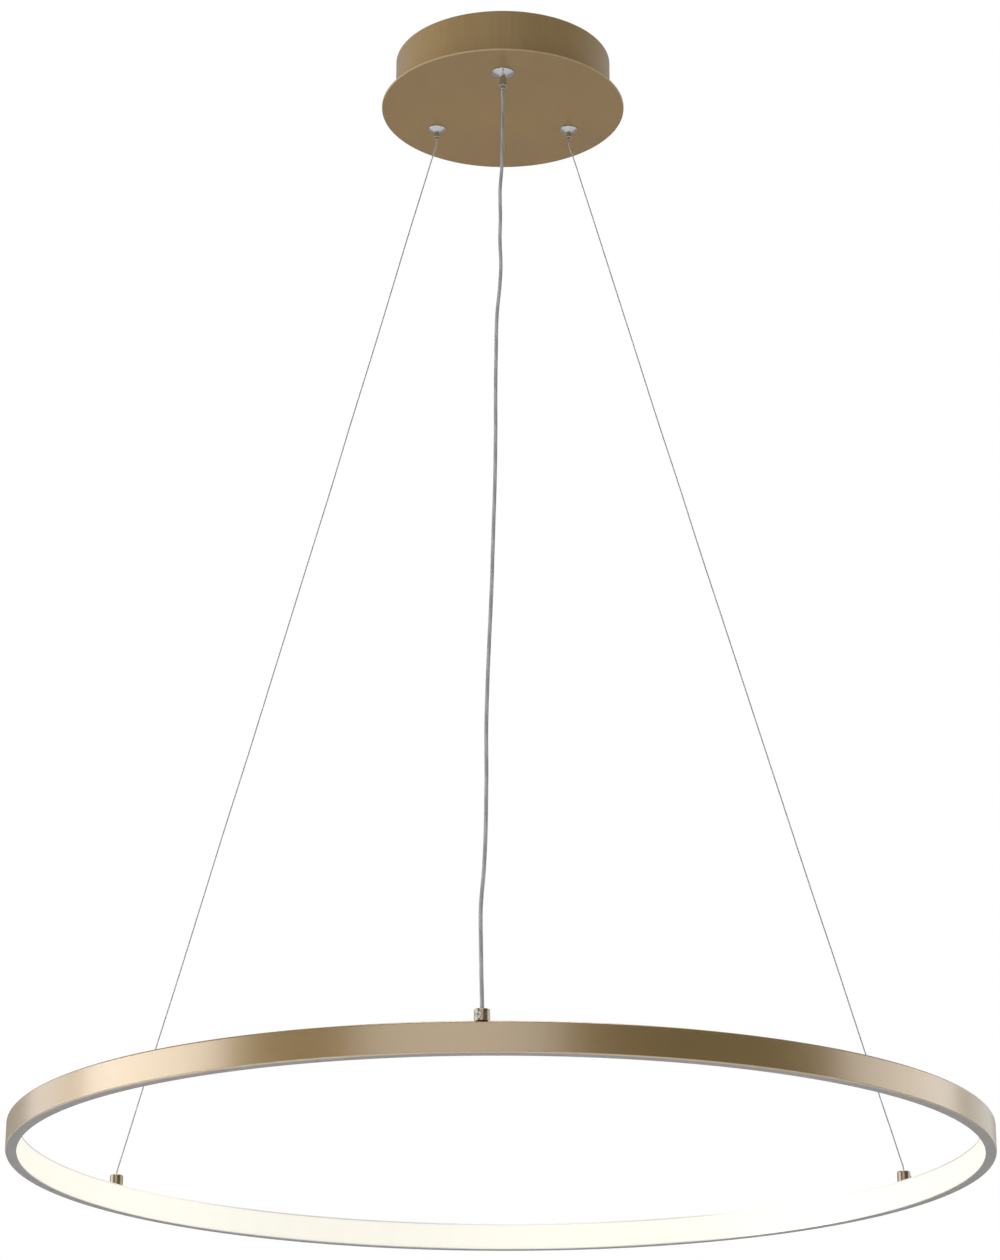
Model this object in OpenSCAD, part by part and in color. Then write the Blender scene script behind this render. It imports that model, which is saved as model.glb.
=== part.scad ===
// Ring pendant light. A round canopy covers a slotted bracket on the ceiling. Two steel wires and
// one clear power cord, which carries load too, run through spring grippers in the canopy plate
// down to a slim metal ring, lit on its inner face.
// Origin: centre of the bracket on the ceiling plane. +Z is up, -Y is the front.

/* [Canopy] */
// Outer diameter of the canopy drum
drum_d = 195; // [185:1:205]
// Height of the canopy drum
drum_h = 45; // [43:1:60]
// Thickness of the drum's wall and of its lip
drum_wall = 1; // [0.8:0.1:2]
// Width of the lip that turns in at the drum's lower end
drum_lip = 10; // [9:1:14]
// Diameter of the canopy plate
plate_d = 220; // [210:1:260]
// Thickness of the canopy plate
plate_t = 1.5; // [1:0.1:3]
// Bevel along the lower rim of the plate
plate_bevel = 0.4; // [0.1:0.1:0.5]
// Number of studs that hold the drum on the plate
drum_studs = 4; // [3:1:6]

/* [Ceiling bracket] */
// Width of the bracket bar
bracket_w = 25; // [20:1:30]
// Thickness of the bracket's steel
bracket_t = 2; // [1.5:0.1:3]
// Distance between the centres of the two slots
slot_spacing = 70; // [60:1:90]
// Length of each slot, end to end
slot_l = 20; // [12:1:24]
// Width of each slot
slot_w = 4.6; // [4:0.1:5.5]
// Diameter of the hole for the mains cable
mains_hole_d = 12; // [8:1:16]
// How far the end tabs reach below the ceiling
tab_h = 15; // [13:1:20]
// Width of each end tab
tab_w = 18; // [12:1:22]
// Gap between a tab and the drum
tab_gap = 2; // [1.5:0.1:3]
// Diameter of the two side screws
side_screw_d = 4; // [3:0.5:5]
// Depth of the side screws below the ceiling
side_screw_depth = 9; // [7:0.5:10]
// How far a side screw reaches inside its tab
side_screw_in = 4; // [2:0.5:6]

/* [Small fasteners] */
// Diameter of the weld studs on the plate
stud_d = 4; // [3:0.5:4]
// Height of the weld studs
stud_h = 8; // [7.5:0.5:10]
// Width across flats of their nuts
nut_af = 7; // [6:0.5:8]
// Height of their nuts
nut_h = 3.2; // [2.4:0.1:3.6]
// Radial play of a clearance hole
hole_play = 0.2; // [0.1:0.05:0.4]
// Radial play between mating threads, drawn plain
thread_play = 0.05; // [0.02:0.01:0.1]

/* [Driver] */
// Length of the driver's case
driver_l = 112; // [100:1:116]
// Width of the driver's case
driver_w = 40; // [34:1:44]
// Height of the closed driver
driver_h = 22; // [20:1:26]
// Wall of the case
driver_wall = 1.6; // [1.2:0.1:2]
// Thickness of the cover
cover_t = 2; // [1.5:0.1:3]
// Distance from the canopy's centre back to the driver's middle
driver_back = -10; // [-12:1:-6]
// Length of each mounting ear
ear_l = 11; // [10:0.5:13]
// Thickness of each mounting ear
ear_t = 2; // [1.5:0.1:3]
// Width of each mounting ear
ear_w = 20; // [14:1:24]
// Height of the ribs under the board
rib_h = 3; // [2:0.5:4]
// Thickness of the board
board_t = 1.6; // [1:0.1:2]

/* [Terminal block] */
// Distance from the canopy's centre back to the block's middle
block_back = 52; // [50:1:54]
// Length of the block without its ears
block_l = 30; // [27:1:34]
// Depth of the block along the wires
block_w = 17; // [15:1:19]
// Height of the block
block_h = 14; // [12:1:16]
// Length of each ear
block_ear_l = 10; // [9:1:12]
// Width of each ear
block_ear_w = 8.5; // [8:0.5:12]
// Thickness of each ear
block_ear_t = 3; // [2:0.5:3]
// Spacing of the three poles
pole_pitch = 10; // [9:0.5:11]
// Height of the wire holes above the plate
pole_z = 8; // [7:0.5:8]
// Diameter of a sleeved mains lead
lead_d = 2.2; // [1.8:0.1:2.4]
// Diameter of a core of the power cord
core_d = 1; // [0.8:0.1:1.1]

/* [Suspension] */
// Diameter of the circle on which the three grippers sit
gripper_circle_d = 140; // [134:1:146]
// Turn of the ring against the canopy, in degrees
ring_turn = -2; // [-6:0.5:6]
// Distance from the ceiling to the ring's lower face
drop = 1014; // [900:1:1200]
// Diameter of the suspension wires
wire_d = 1.2; // [0.8:0.1:1.4]
// Diameter of the power cord
cord_d = 3; // [2.6:0.1:3.2]

/* [Grippers] */
// Diameter of the balls that grip a wire
wire_ball_d = 1.5; // [1.2:0.1:1.8]
// Diameter of the balls that grip the cord
cord_ball_d = 2; // [1.6:0.1:2.4]
// Diameter of the rose of a wire gripper
wire_rose_d = 16; // [14:0.5:20]
// Diameter of the rose of the cord gripper
cord_rose_d = 20; // [18:0.5:24]
// Length of the nipple of a wire gripper
wire_nipple_l = 8.7; // [6:0.1:12]
// Length of the nipple of the cord gripper
cord_nipple_l = 14.1; // [10:0.1:18]
// How far a plunger stands out of its nipple
stem_out = 3.2; // [2.8:0.1:4]
// Thickness of the rose at its rim
rose_t = 1; // [0.6:0.1:1.5]
// Depth of the rose at its middle
rose_h = 3.4; // [2.5:0.1:5]
// Wall of a plunger's stem
stem_wall = 0.6; // [0.5:0.05:0.8]
// Radial running play between a stem and its nipple
stem_fit = 0.06; // [0.03:0.01:0.09]
// Wall of a nipple
nipple_wall = 0.6; // [0.5:0.1:1]
// Wall of a gripper's threaded shank
shank_wall = 1.6; // [1.2:0.1:2]
// Radial play round a line inside its plunger
line_play = 0.3; // [0.2:0.05:0.4]
// Play between a ball, its line and its cone
ball_play = 0.03; // [0.01:0.01:0.05]
// Slope of the gripping cone, radius gained per height
cone_slope = 0.2; // [0.15:0.01:0.25]
// Height of the balls above the plate's lower face
ball_z = 3; // [2.5:0.1:4]
// Height of the plunger's head above the plate's lower face
head_z = 7; // [6.5:0.1:8]
// Thickness of the plunger's head
head_t = 1.2; // [1:0.1:2]
// Space for the plunger's spring
spring_l = 6; // [5.5:0.1:8]
// Thickness of the spring's wire
spring_wire_d = 0.5; // [0.3:0.05:0.6]
// Curls of the spring
spring_curls = 4; // [3:1:5]
// Thickness of a gripper's top cap
cap_t = 2.2; // [1.5:0.1:3]
// Height of a gripper's nut
gripper_nut_h = 4; // [3:0.5:6]
// Length of the crimped stop on a wire
stop_h = 6; // [4:0.5:8]
// Outer diameter of the crimped stop
stop_d = 3.2; // [3:0.1:4]
// Height of the clamp on the cord
clamp_h = 8; // [7:0.5:10]
// Diameter of the clamp on the cord
clamp_d = 11; // [9:0.5:13]

/* [Ring] */
// Outer diameter of the ring
ring_d = 800; // [600:10:1000]
// Width of the ring's profile, seen from below
ring_w = 9; // [9:0.5:14]
// Height of the ring's profile
ring_h = 23.5; // [22:0.5:40]
// Wall of the profile
ring_wall = 1.2; // [1:0.1:1.6]
// Radius of the profile's outer corners
ring_corner = 1.5; // [0.5:0.1:2]
// Thickness of the diffuser
diffuser_t = 2; // [1.5:0.1:2.5]
// Thickness of the two snap ribs on the diffuser
snap_t = 0.8; // [0.6:0.1:1]
// Height of each snap rib
snap_h = 0.4; // [0.2:0.05:0.5]
// Width of the light strip
strip_w = 10; // [8:1:12]
// Thickness of the light strip
strip_t = 0.4; // [0.2:0.1:0.6]
// Number of light chips
chips = 96; // [48:1:120]
// Length of a chip along the strip
chip_l = 2.8; // [2:0.1:3.5]
// Height of a chip
chip_h = 3.5; // [2:0.1:5]
// Thickness of a chip
chip_t = 0.7; // [0.4:0.1:0.8]

/* [Holders] */
// Diameter of the holders on the ring
holder_d = 11.5; // [10:0.5:13]
// Height of the holders
holder_h = 8.8; // [8:0.1:12]
// Radius of a holder's upper edge
holder_round = 1; // [0.3:0.1:1.5]
// Floor left under the line inside a holder
holder_floor = 1.6; // [1:0.1:2]
// Diameter of the holder's threaded foot
foot_d = 4; // [3.5:0.1:4.2]
// Thickness of the round nut inside the profile
foot_nut_t = 1.6; // [1.2:0.1:2.4]
// Diameter of the core passage through the front holder's foot
passage_d = 2.4; // [2.2:0.1:2.6]
// Diameter of a grub screw
grub_d = 5; // [3:0.5:5.5]
// Height of the grub screws above the ring
grub_z = 3.8; // [3.6:0.1:4.5]
// How far a grub screw stands out of its holder
grub_out = 0.3; // [0:0.1:0.6]
// Turn of the grub screws away from straight outwards, in degrees
grub_turn = -24; // [-40:1:40]
// Width across flats of a grub screw's socket
socket_af = 2; // [1.5:0.1:2.2]

/* [Hidden] */
$fn = 64;
// How far a cutting shape runs past what it cuts
cut = 1;

// Radius and depth below the ceiling of what the canopy is built from
drum_r = drum_d / 2;
plate_top = -drum_h;
plate_bottom = plate_top - plate_t;
lip_top = plate_top + drum_wall;
stud_circle_r = drum_r - drum_wall - drum_lip / 2;
stud_r = stud_d / 2;
tab_out = drum_r - drum_wall - tab_gap;
side_screw_r = side_screw_d / 2;
side_screw_sink = 0.1;

// Driver and terminal block, in heights and reaches from their own feet
tray_h = driver_h - cover_t;
driver_corner = 3;
cover_lip_h = 1.5;
cover_play = 0.2;
board_play = 0.5;
board_z = driver_wall + rib_h;
board_top = board_z + board_t;
lead_z = 12;
lead_in = 5;
ear_stud_x = driver_l / 2 + ear_l / 2;
block_stud_x = block_l / 2 + block_ear_l / 2;
pole_hole_r = lead_d / 2 + 0.4;
pole_screw_r = 1.6;
pole_screw_y = 4.2;
pole_screw_sink = 1;
pole_screw_slot = 0.6;
earth_stud = [-36, 24];
terminal_r = 4.2;
terminal_t = 0.8;
tongue_l = 5;
barrel_r = 1.5;

// Places of the three suspension points: front, left, right
FRONT_A = -90;
LEFT_A = 150;
RIGHT_A = 30;
gripper_circle_r = gripper_circle_d / 2;

// One gripper is drawn from these four values
LINE = 0;
BALL = 1;
ROSE = 2;
NIPPLE = 3;
WIRE_GRIPPER = [wire_d, wire_ball_d, wire_rose_d, wire_nipple_l];
CORD_GRIPPER = [cord_d, cord_ball_d, cord_rose_d, cord_nipple_l];
head_play = 0.1;
chamber_play = 0.35;
chamber_step = 0.6;
nipple_round = 0.3;
collar_w = 1;
spring_gap = 0.25;
spring_seat = 0.02;
cap_play = 0.4;
gripper_nut_grip = 4;
ball_count = 3;
window_play = 0.05;
cap_z = head_z + head_t + spring_l;
body_top = cap_z + cap_t;
tail_past = 3;
clamp_screw_d = 3;

// A gripper's radii, each from the line and the balls that it holds
function stem_bore_r(g) = g[LINE] / 2 + line_play;
function stem_r(g) = stem_bore_r(g) + stem_wall;
function nipple_bore_r(g) = stem_r(g) + stem_fit;
function nipple_r(g) = nipple_bore_r(g) + nipple_wall;
function ball_orbit(g) = g[LINE] / 2 + ball_play + g[BALL] / 2;
function grip_r(g) = ball_orbit(g) + (g[BALL] / 2 + ball_play) / cos(atan(cone_slope));
function cone_r(g, z) = grip_r(g) + cone_slope * (z - ball_z);
function cone_low(g) = ball_z - g[BALL];
function head_r(g) = cone_r(g, head_z) - head_play;
function chamber_r(g) = cone_r(g, head_z) + chamber_play;
function shank_r(g) = chamber_r(g) + shank_wall;
function tip_z(g) = -g[NIPPLE] - stem_out;

// Ring and holders
ring_r = ring_d / 2;
ring_in_r = ring_r - ring_w;
ring_bottom = -drop;
ring_top = ring_bottom + ring_h;
channel_r = ring_r - ring_wall;
channel_low = ring_bottom + ring_wall;
channel_high = ring_top - ring_wall;
diffuser_out_r = ring_in_r + diffuser_t;
diffuser_play = 0.05;
snap_set = 1.1;
snap_play = 0.05;
strip_in_r = channel_r - strip_t;
strip_mid = (channel_low + channel_high) / 2;
holder_circle_r = (diffuser_out_r + channel_r) / 2;
foot_nut_play = 0.3;
foot_nut_r = (channel_r - diffuser_out_r) / 2 - foot_nut_play;
foot_past = 0.4;
holder_top = ring_top + holder_h;
line_floor = ring_top + holder_floor;
grub_r = grub_d / 2;
line_hole_play = 0.3;
line_rest = 0.2;
core_set = 0.58;

// Routes of the free lines, from the plunger's tip to the holder's top
LEFT_ROUTE = [
    [-60.6, 35, -58.4], [-60.6, 35, -60.6], [-61.1, 35.3, -64], [-63, 36.5, -70],
    [-66.1, 38.5, -80], [-72, 42, -100], [-84, 49.5, -140], [-101.5, 61, -200],
    [-119, 72, -260], [-137, 83.5, -320], [-154.5, 95, -380], [-172.5, 106, -440],
    [-190.5, 117.5, -500], [-208.5, 129, -560], [-226.5, 140.5, -620], [-245, 152, -680],
    [-263, 163.5, -740], [-281, 175, -800], [-299.5, 187, -860], [-315, 196.5, -910],
    [-327, 204.3, -950], [-332.5, 207.8, -968], [-334.8, 209.3, -975.5],
    [-335.7, 209.8, -979.5], [-335.7, 209.8, -981.7]
];
RIGHT_ROUTE = [
    [60.6, 35, -58.4], [60.6, 35, -60.6], [61.2, 35.3, -64], [63.2, 36.4, -70],
    [66.4, 38, -80], [72.5, 41, -100], [85, 47.5, -140], [103.5, 57.5, -200],
    [122, 67, -260], [140.5, 77, -320], [159.5, 86.5, -380], [178, 96.5, -440],
    [197, 106, -500], [216, 116, -560], [235, 126, -620], [254, 136, -680],
    [273, 146, -740], [292.5, 156, -800], [311.5, 166, -860], [327.5, 174.5, -910],
    [340.5, 181, -950], [346.2, 184.1, -968], [348.7, 185.4, -975.5],
    [349.6, 185.9, -979.5], [349.6, 185.9, -981.7]
];
CORD_ROUTE = [
    [0, -70, -63.8], [0, -70, -68], [0.1, -70.8, -72.5], [0.2, -73, -79],
    [0.2, -76.9, -87], [-0.4, -92.6, -130], [-0.9, -103.3, -160], [-2.3, -112.2, -185],
    [-2, -123, -215], [-2.3, -133.7, -245], [-1.5, -144.4, -275], [-2.6, -153.4, -300],
    [-4.7, -164.1, -330], [-5.3, -178.4, -370], [-5.6, -192.7, -410], [-5.5, -210.5, -460],
    [-6, -228.4, -510], [-7.1, -246.3, -560], [-8.2, -264.2, -610], [-9.8, -282.1, -660],
    [-11, -296.4, -700], [-11.8, -312.5, -745], [-11.5, -326.8, -785], [-12, -346.4, -840],
    [-13.2, -357.2, -870], [-15.1, -367.9, -900], [-14.8, -378.6, -930], [-14.3, -388, -957],
    [-13.8, -395.7, -977], [-13.8, -395.7, -981.7]
];
tube_sides = 8;
spring_sides = 6;
rings_per_curl = 8;
corner_steps = 4;

// Where the leads leave the terminal block, enter the driver and leave the power cord
block_face = block_back - block_w / 2;
block_hole_z = plate_top + pole_z;
driver_hole_z = plate_top + lead_z;
driver_end = driver_l / 2;
lead_rows = [driver_back + lead_d, driver_back - lead_d];
cord_top = plate_bottom + body_top + clamp_h + tail_past;
lead_bend = 7;
core_bend = 6;

// Routes of the leads: corners of straight runs, rounded by eased()
INPUT_ROUTES = [
    [
        [0, block_face + lead_in, block_hole_z], [0, block_face - 14, block_hole_z],
        [driver_end - 1, driver_back + 27, driver_hole_z],
        [driver_end + 11, driver_back + 13, driver_hole_z],
        [driver_end + 12, lead_rows[0], driver_hole_z],
        [driver_end - lead_in, lead_rows[0], driver_hole_z]
    ],
    [
        [pole_pitch, block_face + lead_in, block_hole_z], [pole_pitch, block_face - 12, block_hole_z],
        [driver_end + 1, driver_back + 30, driver_hole_z],
        [driver_end + 14, driver_back + 14, driver_hole_z],
        [driver_end + 16, lead_rows[1], driver_hole_z],
        [driver_end - lead_in, lead_rows[1], driver_hole_z]
    ]
];
OUTPUT_ROUTES = [
    [
        [-core_set, -gripper_circle_r, cord_top], [-core_set, -gripper_circle_r, cord_top + 6],
        [-34, driver_back - 45, cord_top + 4], [-driver_end - 12, driver_back - 25, driver_hole_z],
        [-driver_end - 13, lead_rows[1], driver_hole_z],
        [-driver_end + lead_in, lead_rows[1], driver_hole_z]
    ],
    [
        [core_set, -gripper_circle_r, cord_top], [core_set, -gripper_circle_r, cord_top + 8],
        [-34, driver_back - 45, cord_top + 6], [-driver_end - 15, driver_back - 26, driver_hole_z],
        [-driver_end - 17, lead_rows[0], driver_hole_z],
        [-driver_end + lead_in, lead_rows[0], driver_hole_z]
    ]
];

// A tube swept along a path: its normals are carried from ring to ring, so it never twists
function unit(v) = v / norm(v);
function tangents(p) = [for (i = [0 : len(p) - 1]) unit(p[min(i + 1, len(p) - 1)] - p[max(i - 1, 0)])];
function square_to(t, n) = unit(n - t * (n * t));
function carried(t, n, i = 0) =
    i == len(t) ? [] : concat([square_to(t[i], n)], carried(t, square_to(t[i], n), i + 1));
module tube(path, r, sides = tube_sides, start = [1, 0, 0]) {
    t = tangents(path);
    n = carried(t, start);
    last = (len(path) - 1) * sides;
    points = [for (i = [0 : len(path) - 1]) for (k = [0 : sides - 1])
        path[i] + r * (n[i] * cos(k * 360 / sides) + cross(t[i], n[i]) * sin(k * 360 / sides))];
    wall = [for (i = [0 : len(path) - 2]) for (k = [0 : sides - 1])
        let (a = i * sides + k, b = i * sides + (k + 1) % sides)
        each [[a, a + sides, b + sides], [a, b + sides, b]]];
    ends = [for (k = [1 : sides - 2]) each [[0, k, k + 1], [last, last + k + 1, last + k]]];
    polyhedron(points, concat(wall, ends), convexity = 6);
}

// Straight runs whose corners are rounded over a trimmed length
function corner(a, p, b, trim) =
    let (back = p - a, on = b - p, t = min(trim, norm(back) * 0.45, norm(on) * 0.45))
    [for (s = [0 : corner_steps]) let (u = s / corner_steps)
        p - unit(back) * t * (1 - u) * (1 - u) + unit(on) * t * u * u];
function eased(p, trim) = concat([p[0]],
    [for (i = [1 : len(p) - 2]) each corner(p[i - 1], p[i], p[i + 1], trim)], [p[len(p) - 1]]);

// Shared shapes
module pipe(r, bore, h) {
    difference() {
        cylinder(r = r, h = h);
        translate([0, 0, -cut]) cylinder(r = bore, h = h + 2 * cut);
    }
}
module hex_nut(af, bore, h) {
    difference() {
        cylinder(d = af / cos(30), h = h, $fn = 6);
        translate([0, 0, -cut]) cylinder(r = bore, h = h + 2 * cut);
    }
}
module soft_corners(l, w, r) {
    square([l - 2 * r, w], center = true);
    square([l, w - 2 * r], center = true);
    for (x = [-1, 1]) for (y = [-1, 1]) translate([x * (l / 2 - r), y * (w / 2 - r)]) circle(r);
}
module at_gripper(a) {
    rotate([0, 0, a]) translate([gripper_circle_r, 0, plate_bottom]) children();
}
module at_holder(a) {
    rotate([0, 0, a + ring_turn]) translate([holder_circle_r, 0, 0]) children();
}
module on_drum_circle() {
    for (i = [0 : drum_studs - 1])
        rotate([0, 0, (i + 0.5) * 360 / drum_studs]) translate([stud_circle_r, 0, 0]) children();
}
module at_driver() {
    translate([0, driver_back, plate_top]) children();
}
module at_block() {
    translate([0, block_back, plate_top]) children();
}

// Ceiling bracket: a flat bar with two slots and a tab turned down at each end
module slot() {
    square([slot_l - slot_w, slot_w], center = true);
    for (x = [-1, 1]) translate([x * (slot_l - slot_w) / 2, 0]) circle(d = slot_w);
}
module ceiling_bracket() {
    color("silver") difference() {
        union() {
            translate([-tab_out, -bracket_w / 2, -bracket_t]) cube([2 * tab_out, bracket_w, bracket_t]);
            for (x = [-tab_out, tab_out - bracket_t])
                translate([x, -tab_w / 2, -tab_h]) cube([bracket_t, tab_w, tab_h]);
        }
        translate([0, 0, -bracket_t - cut]) linear_extrude(bracket_t + 2 * cut) {
            circle(d = mains_hole_d);
            for (x = [-1, 1]) translate([x * slot_spacing / 2, 0]) slot();
        }
        translate([-tab_out - cut, 0, -side_screw_depth]) rotate([0, 90, 0])
            cylinder(r = side_screw_r + thread_play, h = 2 * (tab_out + cut));
    }
}

// Canopy: a drum with a lip turned in at its foot, and the wider plate under it
module canopy_drum() {
    color("tan") difference() {
        translate([0, 0, plate_top]) cylinder(r = drum_r, h = drum_h);
        translate([0, 0, lip_top]) cylinder(r = drum_r - drum_wall, h = drum_h);
        translate([0, 0, plate_top - cut]) cylinder(r = drum_r - drum_wall - drum_lip, h = drum_h);
        translate([0, 0, plate_top - cut]) on_drum_circle()
            cylinder(r = stud_r + hole_play, h = drum_wall + 2 * cut);
        translate([-drum_r - cut, 0, -side_screw_depth]) rotate([0, 90, 0])
            cylinder(r = side_screw_r + hole_play, h = 2 * (drum_r + cut));
    }
}
module canopy_plate() {
    plate_r = plate_d / 2;
    color("tan") difference() {
        translate([0, 0, plate_bottom]) rotate_extrude() polygon([
            [0, 0], [plate_r - plate_bevel, 0], [plate_r, plate_bevel], [plate_r, plate_t], [0, plate_t]
        ]);
        at_gripper(FRONT_A) plate_hole(CORD_GRIPPER);
        at_gripper(LEFT_A) plate_hole(WIRE_GRIPPER);
        at_gripper(RIGHT_A) plate_hole(WIRE_GRIPPER);
    }
}
module plate_hole(g) {
    translate([0, 0, -cut]) cylinder(r = shank_r(g) + hole_play, h = plate_t + 2 * cut);
}
module side_screws() {
    inner = tab_out - bracket_t - side_screw_in;
    length = drum_r - side_screw_sink - inner;
    color("silver") for (side = [0, 180])
        rotate([0, 0, side]) translate([inner, 0, -side_screw_depth]) rotate([0, 90, 0]) difference() {
            cylinder(r = side_screw_r, h = length);
            translate([0, 0, length - socket_af]) cylinder(d = socket_af / cos(30), h = length, $fn = 6);
        }
}

// Studs welded to the plate's upper face, and the nuts on them
module weld_studs() {
    color("silver") translate([0, 0, plate_top]) {
        on_drum_circle() cylinder(r = stud_r, h = stud_h);
        for (x = [-1, 1]) translate([x * ear_stud_x, driver_back, 0]) cylinder(r = stud_r, h = stud_h);
        for (x = [-1, 1]) translate([x * block_stud_x, block_back, 0]) cylinder(r = stud_r, h = stud_h);
        translate([earth_stud.x, earth_stud.y, 0]) cylinder(r = stud_r, h = stud_h);
    }
}
module stud_nut(seat) {
    translate([0, 0, seat]) hex_nut(nut_af, stud_r + thread_play, nut_h);
}
module stud_nuts() {
    color("silver") translate([0, 0, plate_top]) {
        on_drum_circle() stud_nut(drum_wall);
        for (x = [-1, 1]) translate([x * ear_stud_x, driver_back, 0]) stud_nut(ear_t);
        for (x = [-1, 1]) translate([x * block_stud_x, block_back, 0]) stud_nut(block_ear_t);
        translate([earth_stud.x, earth_stud.y, 0]) stud_nut(terminal_t);
    }
}

// Driver: a tray with two ears, a board on ribs and a cover with a lip
module driver_case() {
    inner_l = driver_l - 2 * driver_wall;
    inner_w = driver_w - 2 * driver_wall;
    color("white") at_driver() difference() {
        union() {
            linear_extrude(tray_h) soft_corners(driver_l, driver_w, driver_corner);
            linear_extrude(ear_t) soft_corners(driver_l + 2 * ear_l, ear_w, driver_corner);
        }
        difference() {
            translate([0, 0, driver_wall]) linear_extrude(tray_h)
                soft_corners(inner_l, inner_w, driver_corner - driver_wall);
            for (x = [-1, 1]) translate([x * inner_l / 4 - driver_wall / 2, -driver_w / 2, 0])
                cube([driver_wall, driver_w, board_z]);
        }
        for (x = [-1, 1]) translate([x * ear_stud_x, 0, -cut])
            cylinder(r = stud_r + hole_play, h = ear_t + 2 * cut);
        for (y = lead_rows) translate([-driver_l / 2 - cut, y - driver_back, lead_z]) rotate([0, 90, 0])
            cylinder(r = pole_hole_r, h = driver_l + 2 * cut);
    }
}
module driver_board() {
    inner_l = driver_l - 2 * driver_wall - 2 * board_play;
    inner_w = driver_w - 2 * driver_wall - 2 * board_play;
    pad_l = 9;
    pad_h = lead_z - lead_d / 2 - board_top;
    core_l = 24;
    core_h = 10;
    can_r = 4;
    can_h = 9;
    color("green") at_driver() union() {
        translate([-inner_l / 2, -inner_w / 2, board_z]) cube([inner_l, inner_w, board_t]);
        for (x = [-inner_l / 2, inner_l / 2 - pad_l])
            translate([x, -2 * lead_d, board_top]) cube([pad_l, 4 * lead_d, pad_h]);
        translate([-core_l / 2, -core_l / 2, board_top]) cube([core_l, core_l, core_h]);
        for (x = [-1, 1]) for (y = [-1, 1])
            translate([x * inner_l / 4, y * inner_w / 4, board_top]) cylinder(r = can_r, h = can_h);
    }
}
module driver_cover() {
    inner_l = driver_l - 2 * driver_wall - 2 * cover_play;
    inner_w = driver_w - 2 * driver_wall - 2 * cover_play;
    color("white") at_driver() difference() {
        union() {
            translate([0, 0, tray_h]) linear_extrude(cover_t)
                soft_corners(driver_l, driver_w, driver_corner);
            translate([0, 0, tray_h - cover_lip_h]) linear_extrude(cover_lip_h)
                soft_corners(inner_l, inner_w, driver_corner - driver_wall);
        }
        translate([0, 0, tray_h - cover_lip_h - cut]) linear_extrude(cover_lip_h + cut)
            square([inner_l - 2 * driver_wall, inner_w - 2 * driver_wall], center = true);
    }
}

// Terminal block: three poles, each with a wire hole through it and two screws from above
module at_poles() {
    for (x = [-pole_pitch, 0, pole_pitch]) translate([x, 0, 0]) children();
}
module terminal_block() {
    color("white") at_block() difference() {
        union() {
            translate([-block_l / 2, -block_w / 2, 0]) cube([block_l, block_w, block_h]);
            linear_extrude(block_ear_t)
                soft_corners(block_l + 2 * block_ear_l, block_ear_w, driver_corner);
        }
        for (x = [-1, 1]) translate([x * block_stud_x, 0, -cut])
            cylinder(r = stud_r + hole_play, h = block_ear_t + 2 * cut);
        at_poles() translate([0, -block_w / 2 - cut, pole_z]) rotate([-90, 0, 0])
            cylinder(r = pole_hole_r, h = block_w + 2 * cut);
        at_poles() for (y = [-1, 1]) translate([0, y * pole_screw_y, pole_z])
            cylinder(r = pole_screw_r + thread_play, h = block_h);
    }
}
module terminal_screws() {
    foot = pole_z + lead_d / 2 + thread_play;
    top = block_h - pole_screw_sink;
    color("silver") at_block() at_poles() for (y = [-1, 1]) translate([0, y * pole_screw_y, 0])
        difference() {
            translate([0, 0, foot]) cylinder(r = pole_screw_r, h = top - foot);
            translate([-pole_screw_r, -pole_screw_slot / 2, top - pole_screw_slot])
                cube([2 * pole_screw_r, pole_screw_slot, block_h]);
        }
}

// Leads inside the canopy
module input_leads() {
    color("saddlebrown") for (route = INPUT_ROUTES)
        tube(eased(route, lead_bend), lead_d / 2, start = [0, 0, 1]);
}
module output_leads() {
    color("gainsboro") for (route = OUTPUT_ROUTES)
        tube(eased(route, core_bend), core_d / 2, start = [0, 1, 0]);
}
module earth_lead() {
    heading = 30;
    overlap = 0.5;
    straight_out = 7;
    straight_in = 8;
    reach = terminal_r + tongue_l;
    toward = [cos(heading), sin(heading), 0];
    eye = [earth_stud.x, earth_stud.y, plate_top];
    lead_start = eye + toward * (reach - overlap) + [0, 0, barrel_r];
    color("yellowgreen") {
        translate(eye) {
            pipe(terminal_r, stud_r + hole_play, terminal_t);
            rotate([0, 0, heading]) {
                translate([terminal_r - overlap, -barrel_r, 0])
                    cube([tongue_l, 2 * barrel_r, terminal_t]);
                translate([terminal_r + 2 * overlap, 0, barrel_r]) rotate([0, 90, 0])
                    cylinder(r = barrel_r, h = tongue_l - 3 * overlap);
            }
        }
        tube(eased([
            [-pole_pitch, block_face + lead_in, block_hole_z],
            [-pole_pitch, block_face - straight_out, block_hole_z],
            lead_start + toward * straight_in, lead_start
        ], lead_bend), lead_d / 2, start = [0, 0, 1]);
    }
}

// Gripper: rose and nipple below the plate, threaded shank above it, a cone for the balls inside
module gripper_body(g) {
    low = -g[NIPPLE];
    bore = nipple_bore_r(g);
    out = nipple_r(g);
    chamber = chamber_r(g);
    step_z = head_z + chamber_step;
    color("whitesmoke") rotate_extrude() difference() {
        polygon([
            [0, low], [out - nipple_round, low], [out, low + nipple_round], [out, -rose_h],
            [out + collar_w, -rose_h], [g[ROSE] / 2, -rose_t], [g[ROSE] / 2, 0],
            [shank_r(g), 0], [shank_r(g), body_top], [0, body_top]
        ]);
        polygon([
            [-cut, low - cut], [bore, low - cut], [bore, cone_low(g)],
            [cone_r(g, cone_low(g)), cone_low(g)], [cone_r(g, head_z), head_z],
            [chamber, step_z], [chamber, body_top + cut], [-cut, body_top + cut]
        ]);
    }
}
module front_gripper_body() { at_gripper(FRONT_A) gripper_body(CORD_GRIPPER); }
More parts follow.
